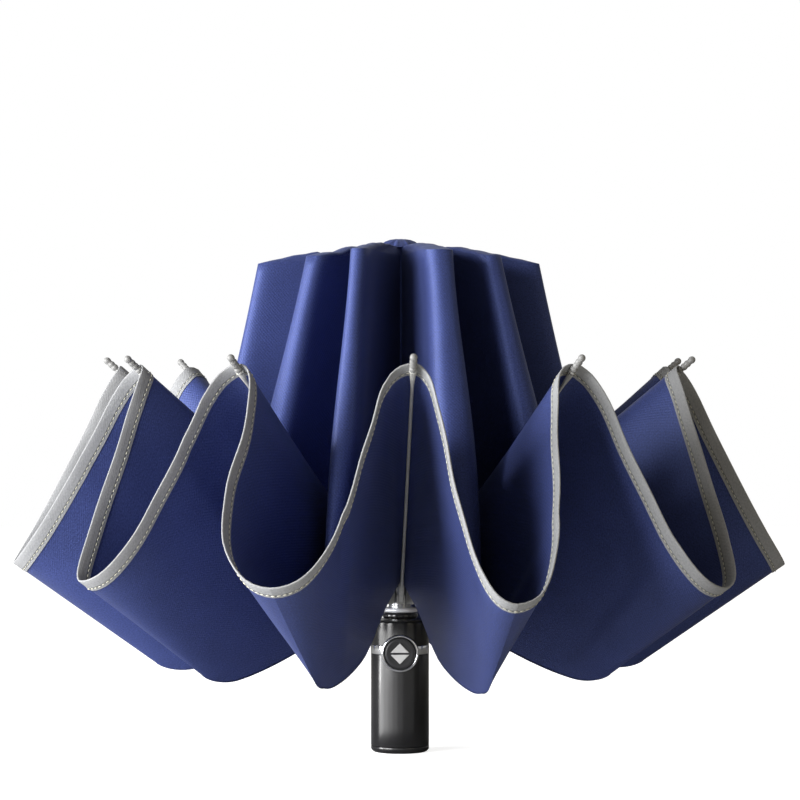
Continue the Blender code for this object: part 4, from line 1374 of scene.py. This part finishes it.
@dataclass
class Rib:
    """An outer rib with its knee, its tip and the threads that tie the tape to it.

    The cuff's and the neck's outlines are in wire radii and in mm from the clamp's end and
    from the neck's top. The tip's is in mm and in shares of its length. The ties start
    beside and above the thread's coil, and reach inward, sideways and down.
    """

    wardrobe: Wardrobe
    index: int
    clamp_length: float = 11.0 * MM
    clamp_width: float = 2.8 * MM
    clamp_thickness: float = 3.4 * MM
    clamp_steps: int = 9
    clamp_eye_share: float = 0.98
    clamp_end_share: float = 0.55
    clamp_rounding: float = 0.3 * MM
    wire_end: Pair = (0.7, 0.2 * MM)
    cuff_outline: Outline = ((0.6, -1.0), (1.5, -1.0), (1.5, 3.0), (1.1, 4.0), (0.6, 4.0))
    neck_outline: Outline = (
        (0.6, -9.0), (1.12, -9.0), (1.55, -4.0), (1.85, -0.6), (1.75, 0.0), (0.6, 0.0),
    )
    neck_gap: float = 0.4 * MM
    tip_length: float = 15.0 * MM
    tip_radius: float = 2.2 * MM
    tip_gaps: Pair = (0.1 * MM, 0.3 * MM)
    tip_outline: Outline = (
        (1.7, 0.0), (1.7, 0.14), (2.2, 0.2), (2.2, 0.26), (1.5, 0.3),
        (1.936, 0.36), (2.156, 0.4), (2.156, 0.46), (1.892, 0.5),
        (1.936, 0.54), (2.156, 0.58), (2.156, 0.64), (1.892, 0.68), (1.76, 0.74),
    )
    dome_middle: float = 0.84
    dome_start: float = -0.35
    dome_steps: int = 6
    tie_foot: float = 0.7 * MM
    tie_radius: float = 1.95 * MM
    tie_turns: float = 3.0
    tie_width: float = 0.9 * MM
    tie_start: Pair = (0.4 * MM, 0.6 * MM)
    tie_reach: Triple = (1.6 * MM, 4.2 * MM, 2.4 * MM)
    tie_sag: float = 1.4 * MM
    tie_thread: float = 0.28 * MM

    def __post_init__(self) -> None:
        """Set the rib's number and its wire's frame."""
        self.number = f"{self.index + 1:02d}"
        self.place = wire_frame(self.index)

    def build(self) -> None:
        """Build the rib's pieces."""
        body = f"rib_{self.number}"
        settle(self._rib(), body, Slot.RIB, f"outer_rib_{self.number}")
        settle(self._tip(), body, Slot.TIP, f"tip_{self.number}")
        settle(self._ties(), body, Slot.TAPE)

    def _rib(self) -> bpy.types.Object:
        """The knee clamp and the wire in it, with its cuff and the neck of its tip.

        Returns:
            The object.
        """
        finish = self.wardrobe["knee"]
        half = self.clamp_thickness * 0.5
        wide = self.clamp_width * 0.5
        end = half * self.clamp_end_share
        angles = np.linspace(0.0, -math.pi, self.clamp_steps)
        outline = [
            (half * math.cos(a), -abs(half * math.sin(a)) * self.clamp_eye_share) for a in angles
        ]
        outline += [
            (-half, self.clamp_length - half), (-end, self.clamp_length),
            (end, self.clamp_length), (half, self.clamp_length - half),
        ]
        corners = [(x, -wide, z) for x, z in outline]
        push = (0.0, 2.0 * wide, 0.0)
        clamp = prism("knee", corners, push, self.clamp_rounding, 2, self.place, crease=50.0)
        radius = Form.wire_radius
        narrow, chamfer = self.wire_end
        wire = [
            (0.0, self.clamp_length * 0.5), (radius, self.clamp_length * 0.5),
            (radius, Form.rib_length - chamfer), (radius * narrow, Form.rib_length),
            (0.0, Form.rib_length),
        ]
        pieces = [link("knee", clamp, finish)]
        pieces.append(lathe("wire", wire, finish, self.place, 20, False))
        top = Form.rib_length - Form.tip_socket - self.neck_gap
        rounds = (("cuff", self.cuff_outline, self.clamp_length), ("neck", self.neck_outline, top))
        for name, shares, foot in rounds:
            outline = [(radius * share, foot + height * MM) for share, height in shares]
            pieces.append(lathe(name, outline, finish, self.place, 20))
        return merge(f"rib_wire_{self.number}", pieces)

    def _tip(self) -> bpy.types.Object:
        """The ridged cap on the wire's end.

        Returns:
            The object.
        """
        foot = Form.rib_length - Form.tip_socket
        length = self.tip_length
        bore = Form.wire_radius + self.tip_gaps[0]
        socket = Form.rib_length + self.tip_gaps[1]
        outline = [(bore, foot)]
        outline += [(radius * MM, foot + length * share) for radius, share in self.tip_outline]
        for step in range(self.dome_steps + 1):
            quarter = self.dome_start + step / self.dome_steps * (1.0 - self.dome_start)
            angle = quarter * math.pi / 2.0
            share = self.dome_middle + (1.0 - self.dome_middle) * math.sin(angle)
            outline.append((self.tip_radius * math.cos(angle), foot + length * share))
        outline += [(0.0, foot + length), (0.0, socket), (bore, socket)]
        finish = self.wardrobe["tip"]
        return lathe(f"rib_tip_{self.number}", outline, finish, self.place, 28, crease=55.0)

    def _ties(self) -> bpy.types.Object:
        """Thread wound round the tip's foot and drawn over to the tape on both sides.

        Returns:
            The object.
        """
        foot = Form.rib_length - Form.tip_socket + self.tie_foot
        radius = self.tie_radius
        turns = np.linspace(0.0, self.tie_turns * 2.0 * math.pi, 73)
        rise = foot + turns / turns[-1] * self.tie_width
        strands = [np.stack((radius * np.cos(turns), radius * np.sin(turns), rise), axis=-1)]
        way = np.linspace(0.0, 1.0, 14)
        inward, sideways, down = self.tie_reach
        beside, above = self.tie_start
        for side in (-1.0, 1.0):
            strands.append(np.stack((
                -radius * np.cos(way * math.pi * 0.5) - way * inward,
                side * (way * sideways + beside),
                foot + above - np.sin(way * math.pi) * self.tie_sag - way * down,
            ), axis=-1))
        matrix = np.array(self.place)
        finish = self.wardrobe["grey_thread"]
        pieces = [
            sweep("strand", strand @ matrix[:3, :3].T + matrix[:3, 3], self.tie_thread, finish)
            for strand in strands
        ]
        return merge(f"tip_ties_{self.number}", pieces)


@dataclass
class Canopy:
    """The upper canopy and the crown's rosette.

    Waves are given as height, turns across the gore and turns down it, in mm and radians.
    The rosette's tables are in mm out, mm up and shares of its rise, from its top in the
    first and from its base in the second.
    """

    wardrobe: Wardrobe
    crowding: float = 1.7
    top_rows: int = 22
    lower_rows: int = 44
    girth_row: int = 40
    shelf_rises: Pair = (0.8, 2.0)
    dent_width: float = 5.0
    ripple: Triple = (0.3, 3.0, 0.42)
    ripple_turn: float = 2.1
    swell: float = 0.9
    wall_wave: Triple = (1.5, 5.2, 1.3)
    wall_phases: Pair = (1.7, 0.6)
    wall_fade: float = 1.05
    hem_flatness: float = 0.85
    hem_dip: float = 0.3
    rosette_top: tuple[Triple, ...] = (
        (0.0, -0.5, 0.0), (1.6, -0.3, 0.0), (3.4, 0.0, 0.0), (6.0, 0.0, -0.12),
        (8.6, 0.0, -0.36),
    )
    rosette_base: tuple[Triple, ...] = (
        (10.6, 0.0, 0.28), (11.9, 0.2, 0.0), (11.2, -0.4, 0.0), (8.0, 0.2, 0.0),
        (4.1, 0.0, 0.0),
    )
    rosette_radius: float = 12.0 * MM

    def build(self) -> None:
        """Build the canopy and the rosette."""
        self._upper()
        self._rosette()

    def _shelf(self, half: HalfGore, way: Array) -> list[Array]:
        """Rows of one half gore from the crown's hole to its shoulder, without the last.

        Args:
            half: The half gore.
            way: Ways across it.

        Returns:
            Rows of points.
        """
        height, across, out_turns = self.ripple
        shoulder = half.shoulder(way)
        ring = shoulder - half.aside(half.middle) * half.puff(way)[..., None] * 0.5
        ring[..., 2] = 0.0
        ring *= (Form.crown_hole / np.linalg.norm(ring, axis=-1))[..., None]
        ring[..., 2] = Form.crown_height
        rows = []
        for step in range(self.top_rows):
            part = step / self.top_rows
            arch = math.sin(math.pi * part)
            row = ring + (shoulder - ring) * part
            rise = self.shelf_rises[0] + self.shelf_rises[1] * way**3
            row[..., 2] += rise * MM * arch
            out = np.linalg.norm(row[..., :2], axis=-1) / MM
            off = (out - Form.shelf_dent_radii[half.gore]) / self.dent_width
            dent = Form.shelf_dents[half.gore] * np.exp(-(off**2))
            phase = self.ripple_turn * half.gore
            ripple = height * np.sin(out_turns * out + phase + across * way) * arch
            row[..., 2] += (ripple - dent * way) * MM
            rows.append(row)
        return rows

    def _wall(self, half: HalfGore, way: Array) -> list[Array]:
        """Rows of one half gore from its shoulder to the fold, and its hem under the skirt.

        Args:
            half: The half gore.
            way: Ways across it.

        Returns:
            Rows of points.
        """
        shoulder, fold = half.shoulder(way), half.fold(way, np.ones_like(way))
        fall = Form.shoulder_height - Form.lobe_height
        share = (Form.shoulder_height - Form.waist_height) / fall
        straight = Form.shoulder_radius + (Form.lobe_radius - Form.shoulder_radius) * share
        side = unit(np.cross(fold - shoulder, polar(half.middle, 1.0, 0.0)))
        height, across, down_turns = self.wall_wave
        phase = half.gore * self.wall_phases[0] + half.hand * self.wall_phases[1]
        rows = []
        for step in range(self.lower_rows + 1):
            down = step / self.lower_rows
            row = shoulder + (fold - shoulder) * down
            pull = (straight - Form.waist_radius) * way * 4.0 * down * (1.0 - down)
            row = row - unit(row * (1.0, 1.0, 0.0)) * pull[..., None]
            swell = self.swell * math.sin(math.pi * down) ** 2
            row = row + half.aside(half.middle) * (half.puff(way) * swell)[..., None]
            wave = np.sin(way * across + phase + down * down_turns)
            wave *= np.sin(math.pi * way) ** 1.5
            soft = height * MM * math.sin(math.pi * min(down * self.wall_fade, 1.0)) ** 0.7
            rows.append(row + side * (wave * soft * half.hand)[..., None])
        clear = np.clip((way - Form.turn_start) / Form.turn_start, 0.0, 1.0)
        drop = Form.turn_drop * (1.0 - self.hem_flatness * way**4)
        down = drop[..., None] * np.array((0.0, 0.0, 1.0))
        turn = (half.skirt_line(way)[0] - down - rows[-1]) * eased(clear)[..., None]
        rows.append(rows[-1] + turn * 0.5 - down * (self.hem_dip * clear)[..., None])
        rows.append(rows[-2] + turn)
        return rows

    def _upper(self) -> None:
        """The pleated cloth from crown to fold, as one continuous sheet."""
        way = 1.0 - (1.0 - np.linspace(0.0, 1.0, Form.half_columns + 1)) ** self.crowding
        blocks = []
        for gore in range(Form.count):
            for half in (HalfGore(gore, gore, 1.0), HalfGore(gore, (gore + 1) % Form.count, -1.0)):
                rows = np.array(self._shelf(half, way) + self._wall(half, way))
                blocks.append(rows[:, :-1] if half.hand > 0.0 else rows[:, ::-1])
        points = np.concatenate(blocks, axis=1)
        loop = np.concatenate((points, points[:, :1]), axis=1)
        along = running_length(points[:, Form.half_columns])
        across = running_length(loop[self.girth_row])
        mesh = sheet_mesh("canopy_cloth", points, across, along, closed=True)
        piece = link("canopy_cloth", mesh, self.wardrobe["cloth"])
        thicken(piece, Form.cloth)
        settle(piece, Body.CROWN.value, Slot.CLOTH, "canopy_upper")

    def _rosette(self) -> None:
        """The puckered round of cloth that covers the crown."""
        low, high = (corner[2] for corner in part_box("crown_cap"))
        base = Form.crown_height + 0.5 * MM
        skin = base - 1.0 * MM
        rise = high - base
        outline = [
            (out * MM, level + up * MM + rise * share)
            for level, table in ((high, self.rosette_top), (base, self.rosette_base))
            for out, up, share in table
        ]
        outline += [(outline[-1][0], low + 0.3 * MM), (0.0, low)]

        def pucker(angle: float, height: float) -> float:
            """Folds all round, but not at the top and inside."""
            if height < skin or height > high - rise * 0.06:
                return 1.0
            return 1.0 + 0.075 * math.sin(10.0 * angle) + 0.04 * math.sin(17.0 * angle + 0.8)

        piece = lathe(
            "crown_rosette", outline, self.wardrobe["cloth"], sides=120, closed=False,
            shape=pucker, crease=70.0,
        )
        mesh = piece.data
        for vertex in mesh.vertices:
            x, y, z = vertex.co
            out = math.hypot(x, y) / self.rosette_radius
            if z > skin and out > 0.1:
                angle = math.atan2(y, x)
                lift = 0.7 * math.sin(2.0 * angle + 0.9) + 0.45 * math.sin(5.0 * angle + 2.0) - 0.5
                vertex.co.z = min(z + lift * MM * out**2, high)
        corners = np.array([mesh.vertices[loop.vertex_index].co[:2] for loop in mesh.loops])
        layer = mesh.uv_layers.new(name="cut")
        layer.data.foreach_set("uv", corners.astype(np.float32).ravel())
        settle(piece, Body.CROWN.value, Slot.CLOTH, "crown_cap")


@dataclass
class Skirt:
    """One rib's turned-up cloth with its tape and stitches, its waves as in Canopy."""

    wardrobe: Wardrobe
    stitches: StitchTree
    index: int
    crowding: float = 1.15
    rows: int = 40
    wave: Triple = (1.6, 6.5, 1.4)
    phase: float = 2.1
    tip_wave: Pair = (0.9, 26.0)
    tip_wave_reach: float = 0.16
    tape: float = 1.2 * MM
    tape_wall: float = 0.3 * MM
    tape_width: float = 9.4 * MM
    stitch_inset: float = 2.1 * MM
    stitch_pitch: float = 3.4 * MM
    stitch_length: float = 2.6 * MM
    thread: float = 0.3 * MM
    bend_heading: Triple = (0.355, 0.0, 0.935)
    bend_reach: float = 50.0 * MM

    def __post_init__(self) -> None:
        """Set the skirt's number and the half gores on both sides of its rib."""
        self.number = f"{self.index + 1:02d}"
        before = (self.index - 1) % Form.count
        self.halves = HalfGore(before, self.index, -1.0), HalfGore(self.index, self.index, 1.0)

    def build(self) -> None:
        """Build the cloth and the tape."""
        self._cloth()
        self._tape()

    def _grid(self, rows: Array) -> Array:
        """Points of the skirt.

        Args:
            rows: Shares of its lines from fold to rim.

        Returns:
            Points: rows, columns, 3.
        """
        way = np.linspace(0.0, 1.0, Form.half_columns + 1) ** self.crowding
        up = rows[:, None]
        height, across, up_turns = self.wave
        tip_height, tip_turns = self.tip_wave
        grids = []
        for half in self.halves:
            low, high = half.skirt_line(way)
            line = high - low
            facing = unit(np.cross(line, np.gradient(low + line * 0.5, axis=0)))
            facing *= np.sign(facing @ polar(half.middle, 1.0, 0.0) + TINY)[..., None]
            phase = self.index * self.phase + half.hand
            folds = height * MM * np.sin(across * way + phase + up_turns * up)
            folds *= np.sin(math.pi * np.clip(up, 0.0, 1.0)) ** 0.8
            pull = tip_height * MM * np.sin(tip_turns * way**0.6 + phase)
            pull = pull * np.exp(-(((1.0 - up) / self.tip_wave_reach) ** 2)) * (1.0 - way)
            lift = (folds + pull) * np.sin(math.pi * way) ** 1.5
            grids.append(low + line * rows[:, None, None] + facing * lift[..., None])
        return np.concatenate((grids[0][:, :0:-1], grids[1]), axis=1)

    def _cloth(self) -> None:
        """The cloth, up to the middle of the tape."""
        ends = self._grid(np.array([0.0, 1.0]))
        lengths = np.linalg.norm(ends[1] - ends[0], axis=-1)
        mean, longest = float(lengths.mean()), float(lengths.max())
        rows = np.linspace(0.0, 1.0 - self.tape_width * 0.5 / mean, self.rows + 1)
        grid = self._grid(rows)
        across = running_length(grid[len(rows) // 2])
        mesh = sheet_mesh(f"skirt_{self.number}", grid, across, rows * mean)
        piece = link(f"skirt_cloth_{self.number}", mesh, self.wardrobe["cloth"])
        thicken(piece, Form.cloth)
        self._bend(piece, Slot.CLOTH, f"skirt_{self.number}")

    def _path(self, inset: float, proud: float) -> Array:
        """Points along the rim, in from its edge and out of the cloth's face.

        Args:
            inset: Distance in from the edge.
            proud: Distance out of the cloth, negative for its other face.

        Returns:
            Points, from one gore's middle to the next.
        """
        below, edge = self._grid(np.array([0.9, 1.0]))
        outward = unit(edge - below)
        heading = np.gradient(edge, axis=0)
        heading[0], heading[-1] = (half.rim_heading() for half in self.halves)
        return edge - outward * inset + unit(np.cross(heading, outward)) * proud

    def _tape(self) -> None:
        """The grey tape folded over the skirt's edge and its stitches on both faces."""
        half = (self.tape - self.tape_wall) * 0.5
        section = [(self.tape_width * share, half) for share in (1.0, 0.7, 0.4)] + [(half, half)]
        turned = section[::-1]
        for angle in (math.pi * 0.25, math.pi * 0.5, math.pi * 0.75):
            section.append((half - half * math.sin(angle), half * math.cos(angle)))
        section += [(inset, -proud) for inset, proud in turned]
        rows = np.array([self._path(inset, proud) for inset, proud in section])
        across = running_length(self._path(0.0, 0.0))
        along = running_length(rows[:, rows.shape[1] // 2])
        mesh = sheet_mesh(f"tape_{self.number}", rows, across, along - along[-1] * 0.5)
        piece = link(f"rim_tape_{self.number}", mesh, self.wardrobe["tape"])
        thicken(piece, self.tape_wall)
        self._bend(piece, Slot.TAPE, *(["rim_binding"] if self.index == 0 else []))
        inset = self.tape_width - self.stitch_inset
        proud = self.tape * 0.5 + self.thread * 0.35
        lines = [
            self.stitches.row(
                f"stitch_{name}", self._path(inset, side * proud),
                self.stitch_pitch, self.stitch_length, self.thread, self.wardrobe["thread"],
            )
            for name, side in (("outer", 1.0), ("inner", -1.0))
        ]
        self._bend(merge(f"tape_stitches_{self.number}", lines), Slot.TAPE)

    def _bend(self, piece: bpy.types.Object, slot: Slot, *nodes: str) -> None:
        """Bake a piece's place into its mesh and hide the nodes that it stands for.

        Args:
            piece: The piece.
            slot: The record's slot; not used.
            *nodes: CAD nodes that it replaces.
        """
        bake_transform(piece)
        label(piece, slot, nodes)
        LOG.info("%s bends with rib %s", piece.name, self.number)


@dataclass(frozen=True)
class Lamp:
    """A rectangular area lamp that faces the umbrella.

    Args:
        name: Its name.
        place: Where it stands.
        size: Its width and height.
        power: Its watts.
        colour: Its colour.
    """

    name: str
    place: Triple
    size: Pair
    power: float
    colour: Triple = WHITE

    def make(self, target: Vector) -> bpy.types.Object:
        """Put the lamp in the scene.

        Args:
            target: The point that it faces.

        Returns:
            The lamp's object.
        """
        data = bpy.data.lights.new(self.name, "AREA")
        data.shape = "RECTANGLE"
        data.size, data.size_y = self.size
        data.energy = self.power
        data.color = self.colour
        return aimed(self.name, data, self.place, target)


def aimed(
    name: str, data: bpy.types.ID, place: Sequence[float], target: Vector
) -> bpy.types.Object:
    """Put a camera or a lamp in the scene and turn it to a point.

    Args:
        name: Its name.
        data: The camera or the lamp.
        place: Where it stands.
        target: The point that it faces.

    Returns:
        Its object.
    """
    made = put(name, data)
    made.location = place
    made.rotation_euler = (target - made.location).to_track_quat("-Z", "Y").to_euler()
    return made


@dataclass
class Studio:
    """Camera, lamps, world and floor.

    Each glow is an upright strip beside the grip: its name, the bearings of its sides in
    degrees from the viewer towards +X, and its radiance.
    """

    grip: bpy.types.Material
    distance: float = 1.862
    lens: float = 135.0
    eye_height: float = 0.2241
    target_height: float = 0.2179
    lamp_target: float = 0.17
    lamps: tuple[Lamp, ...] = (
        Lamp("key_strip", (-1.75, -0.3, 0.2), (0.5, 1.5), 67.0),
        Lamp("key_box", (-1.35, -1.2, 0.3), (0.9, 1.3), 62.0),
        Lamp("fill_box", (1.5, -1.6, 0.7), (1.2, 1.2), 4.0, WARM),
        Lamp("top_box", (0.2, 0.2, 1.8), (1.4, 1.4), 4.0),
    )
    strip_distance: float = 0.06
    strip_height: float = 0.072
    glows: tuple[tuple[str, float, float, float], ...] = (
        ("near_glow", -80.0, -60.0, 8.6), ("mid_glow", -60.0, -42.0, 6.0),
        ("far_glow", -42.0, -26.0, 3.8), ("front_glow", -26.0, -9.0, 2.2),
        ("last_glow", -9.0, 9.0, 1.0), ("right_glow", 9.0, 50.0, 0.35),
    )
    ambient: float = 0.105
    ambient_limit: float = 0.11
    mirrored: float = 0.35
    floor_glow: float = 0.84
    floor_spread: float = 0.8
    floor_paint: float = 0.8
    floor_mirrored: float = 0.3
    floor_half: float = 3.0

    def build(self) -> None:
        """Set the view and the light."""
        data = bpy.data.cameras.new("camera")
        data.lens = self.lens
        data.sensor_width = 36.0
        eye = (0.0, -self.distance, self.eye_height)
        target = Vector((0.0, 0.0, self.target_height))
        bpy.context.scene.camera = aimed("camera", data, eye, target)
        for lamp in self.lamps:
            lamp.make(Vector((0.0, 0.0, self.lamp_target)))
        self._grip_glows()
        self._world()
        self._floor()
        bpy.context.scene.view_settings.view_transform = "Standard"

    def _grip_glows(self) -> None:
        """Upright strips that show only as reflections in the grip, for its highlight."""
        shell = bpy.data.collections.new("grip_shell")
        for piece in bpy.context.scene.objects:
            if piece.type == "MESH" and self.grip.name in piece.data.materials:
                shell.objects.link(piece)
        height = self.strip_height * 0.5 + 1.0 * MM
        for name, first, last, radiance in self.glows:
            place = polar((first + last) * 0.5, self.strip_distance, height).tolist()
            angle = math.radians(abs(last - first))
            width = 2.0 * self.strip_distance * math.tan(angle * 0.5)
            power = radiance * math.pi * width * self.strip_height
            lamp = Lamp(name, place, (width, self.strip_height), power)
            glow = lamp.make(Vector((0.0, 0.0, height)))
            glow.visible_camera = glow.visible_diffuse = glow.visible_transmission = False
            glow.light_linking.receiver_collection = shell

    def _world(self) -> None:
        """White to the camera, dimmer in reflections, dim and warm as light."""
        world = bpy.data.worlds.new("studio")
        world.use_nodes = True
        wire = Wiring(world.node_tree)
        rays = wire.node("ShaderNodeLightPath")
        glossy = wire.math("MULTIPLY", rays["Is Glossy Ray"], self.mirrored)
        seen = wire.math("MAXIMUM", rays["Is Camera Ray"], glossy)
        through = wire.math("MAXIMUM", seen, rays["Is Transmission Ray"])
        strength = wire.math("MAXIMUM", through, self.ambient)
        bright = wire.math("GREATER_THAN", strength, self.ambient_limit)
        back = world.node_tree.nodes["Background"]
        wire.fill(back, {"Strength": strength, "Color": wire.mix(bright, WARM, WHITE)})
        bpy.context.scene.world = world

    def _floor(self) -> None:
        """A white floor that keeps a faint shadow and fades into the backdrop."""
        builder = bmesh.new()
        bmesh.ops.create_grid(builder, x_segments=1, y_segments=1, size=self.floor_half)
        material = bpy.data.materials.new("white_floor")
        material.use_nodes = True
        wire = Wiring(material.node_tree)
        rays = wire.node("ShaderNodeLightPath")
        place = wire.node("ShaderNodeTexCoord")["Object"]
        far = wire.node("ShaderNodeVectorMath", {"Vector": place}, operation="LENGTH")
        away = wire.math("MULTIPLY", far["Value"], self.floor_spread)
        spread = wire.math("MULTIPLY", wire.math("MINIMUM", away, 1.0), 1.0 - self.floor_glow)
        glow = wire.math("ADD", self.floor_glow, spread)
        paint = (self.floor_paint,) * 3
        mirrored = (self.floor_mirrored,) * 3
        wire.fill(material.node_tree.nodes["Principled BSDF"], {
            "Base Color": wire.mix(rays["Is Glossy Ray"], paint, mirrored),
            "Roughness": 0.9,
            "Emission Color": WHITE,
            "Emission Strength": wire.math("MULTIPLY", rays["Is Camera Ray"], glow),
        })
        link("floor", finish_mesh(builder, "floor"), material)


def main() -> None:
    """Build every assembly in order, then the studio."""
    logging.basicConfig(level=logging.INFO, format="%(message)s")
    wardrobe = Wardrobe()
    wardrobe.dress_nodes()
    Handle(wardrobe).build()
    Pole(wardrobe).build()
    for index in range(Form.count):
        Rib(wardrobe, index).build()
    Canopy(wardrobe).build()
    stitches = StitchTree()
    for index in range(Form.count):
        Skirt(wardrobe, stitches, index).build()
    Studio(wardrobe["handle"]).build()


if __name__ == "__main__":
    main()
